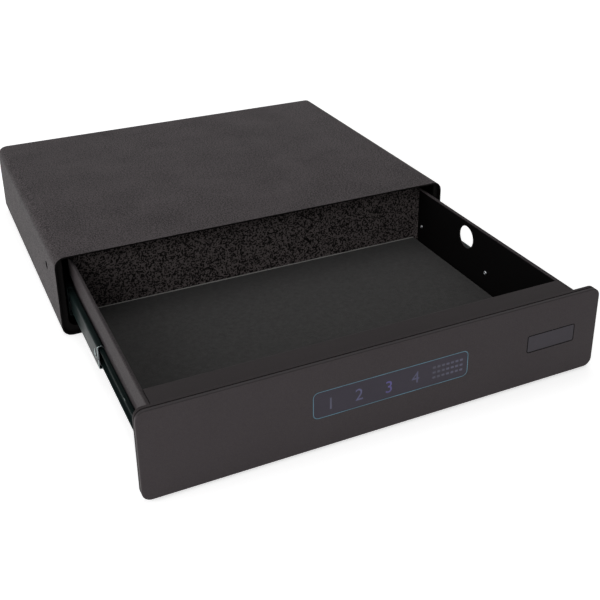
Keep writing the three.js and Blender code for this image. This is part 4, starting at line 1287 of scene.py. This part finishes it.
@dataclass
class Studio:
    """A white floor, soft lamps and a white surround.

    The floor's own light grows from floor_lift to 1 over the distances in floor_fade, so that
    far floor and surround look alike.
    """

    floor_size: float = 30.0
    floor_drop: float = 0.2 * MM
    floor_tone: float = 0.9
    floor_roughness: float = 0.9
    floor_lift: float = 0.62
    floor_fade: tuple[float, float] = (0.9, 2.4)
    world_light: float = 0.22
    lamps: tuple[Lamp, ...] = (
        Lamp("left_softbox", (-2.2, -0.3, 1.1), 1.6, 14.5),
        Lamp("top_softbox", (0.2, 0.0, 2.4), 2.0, 17.0),
        Lamp("front_softbox", (-1.6, -2.2, 1.4), 1.6, 17.5),
    )

    def seen_by_camera(self, sheet: NodeSheet) -> bpy.types.NodeSocket:
        """1 for a ray that shows the surround: straight, mirrored or through glass.

        Args:
            sheet: the node sheet to build on.

        Returns:
            The share's output socket.
        """
        path = sheet.add("ShaderNodeLightPath").outputs
        direct = sheet.math("MAXIMUM", path["Is Camera Ray"], path["Is Glossy Ray"])
        return sheet.math("MAXIMUM", direct, path["Is Transmission Ray"])

    def build(self) -> None:
        """Makes the lamps, the floor and the world."""
        for lamp in self.lamps:
            lamp.build()
        self.build_floor()
        self.build_world()

    def build_floor(self) -> None:
        """Makes the floor, which glows a little for the camera only."""
        shape = bmesh.new()
        bmesh.ops.create_grid(shape, x_segments=1, y_segments=1, size=self.floor_size / 2)
        mesh = bpy.data.meshes.new("studio_floor")
        shape.to_mesh(mesh)
        shape.free()
        floor = bpy.data.objects.new("studio_floor", mesh)
        floor.location.z = -self.floor_drop
        bpy.context.scene.collection.objects.link(floor)
        material = bpy.data.materials.new("studio_white")
        material.use_nodes = True
        sheet = NodeSheet(material.node_tree)
        away = sheet.add("ShaderNodeVectorMath", {0: sheet.place()}, operation="LENGTH")
        share = sheet.ramp(away.outputs["Value"], *self.floor_fade, self.floor_lift, 1.0)
        sheet.feed(material.node_tree.nodes["Principled BSDF"], {
            "Base Color": rgba((self.floor_tone,) * 3),
            "Roughness": self.floor_roughness,
            "Specular IOR Level": 0.0,
            "Emission Color": rgba((1.0, 1.0, 1.0)),
            "Emission Strength": sheet.math("MULTIPLY", self.seen_by_camera(sheet), share),
        })
        mesh.materials.append(material)

    def build_world(self) -> None:
        """Makes a world that shows white and lights softly."""
        world = bpy.data.worlds.new("studio_world")
        world.use_nodes = True
        bpy.context.scene.world = world
        sheet = NodeSheet(world.node_tree)
        shown = sheet.ramp(self.seen_by_camera(sheet), 0.0, 1.0, self.world_light, 1.0)
        sheet.feed(world.node_tree.nodes["Background"], {
            "Color": rgba((1.0, 1.0, 1.0)), "Strength": shown,
        })


def main() -> None:
    logging.basicConfig(level=logging.INFO, format="%(name)s: %(message)s")
    bpy.context.scene.view_settings.view_transform = "Standard"
    for part in (PhotoCamera(), Studio(), Casing(), Slides(), Drawer(), Front(), LockWork()):
        part.build()
        LOG.info("%s is built", type(part).__name__)
    bpy.context.view_layer.update()


if __name__ == "__main__":
    main()
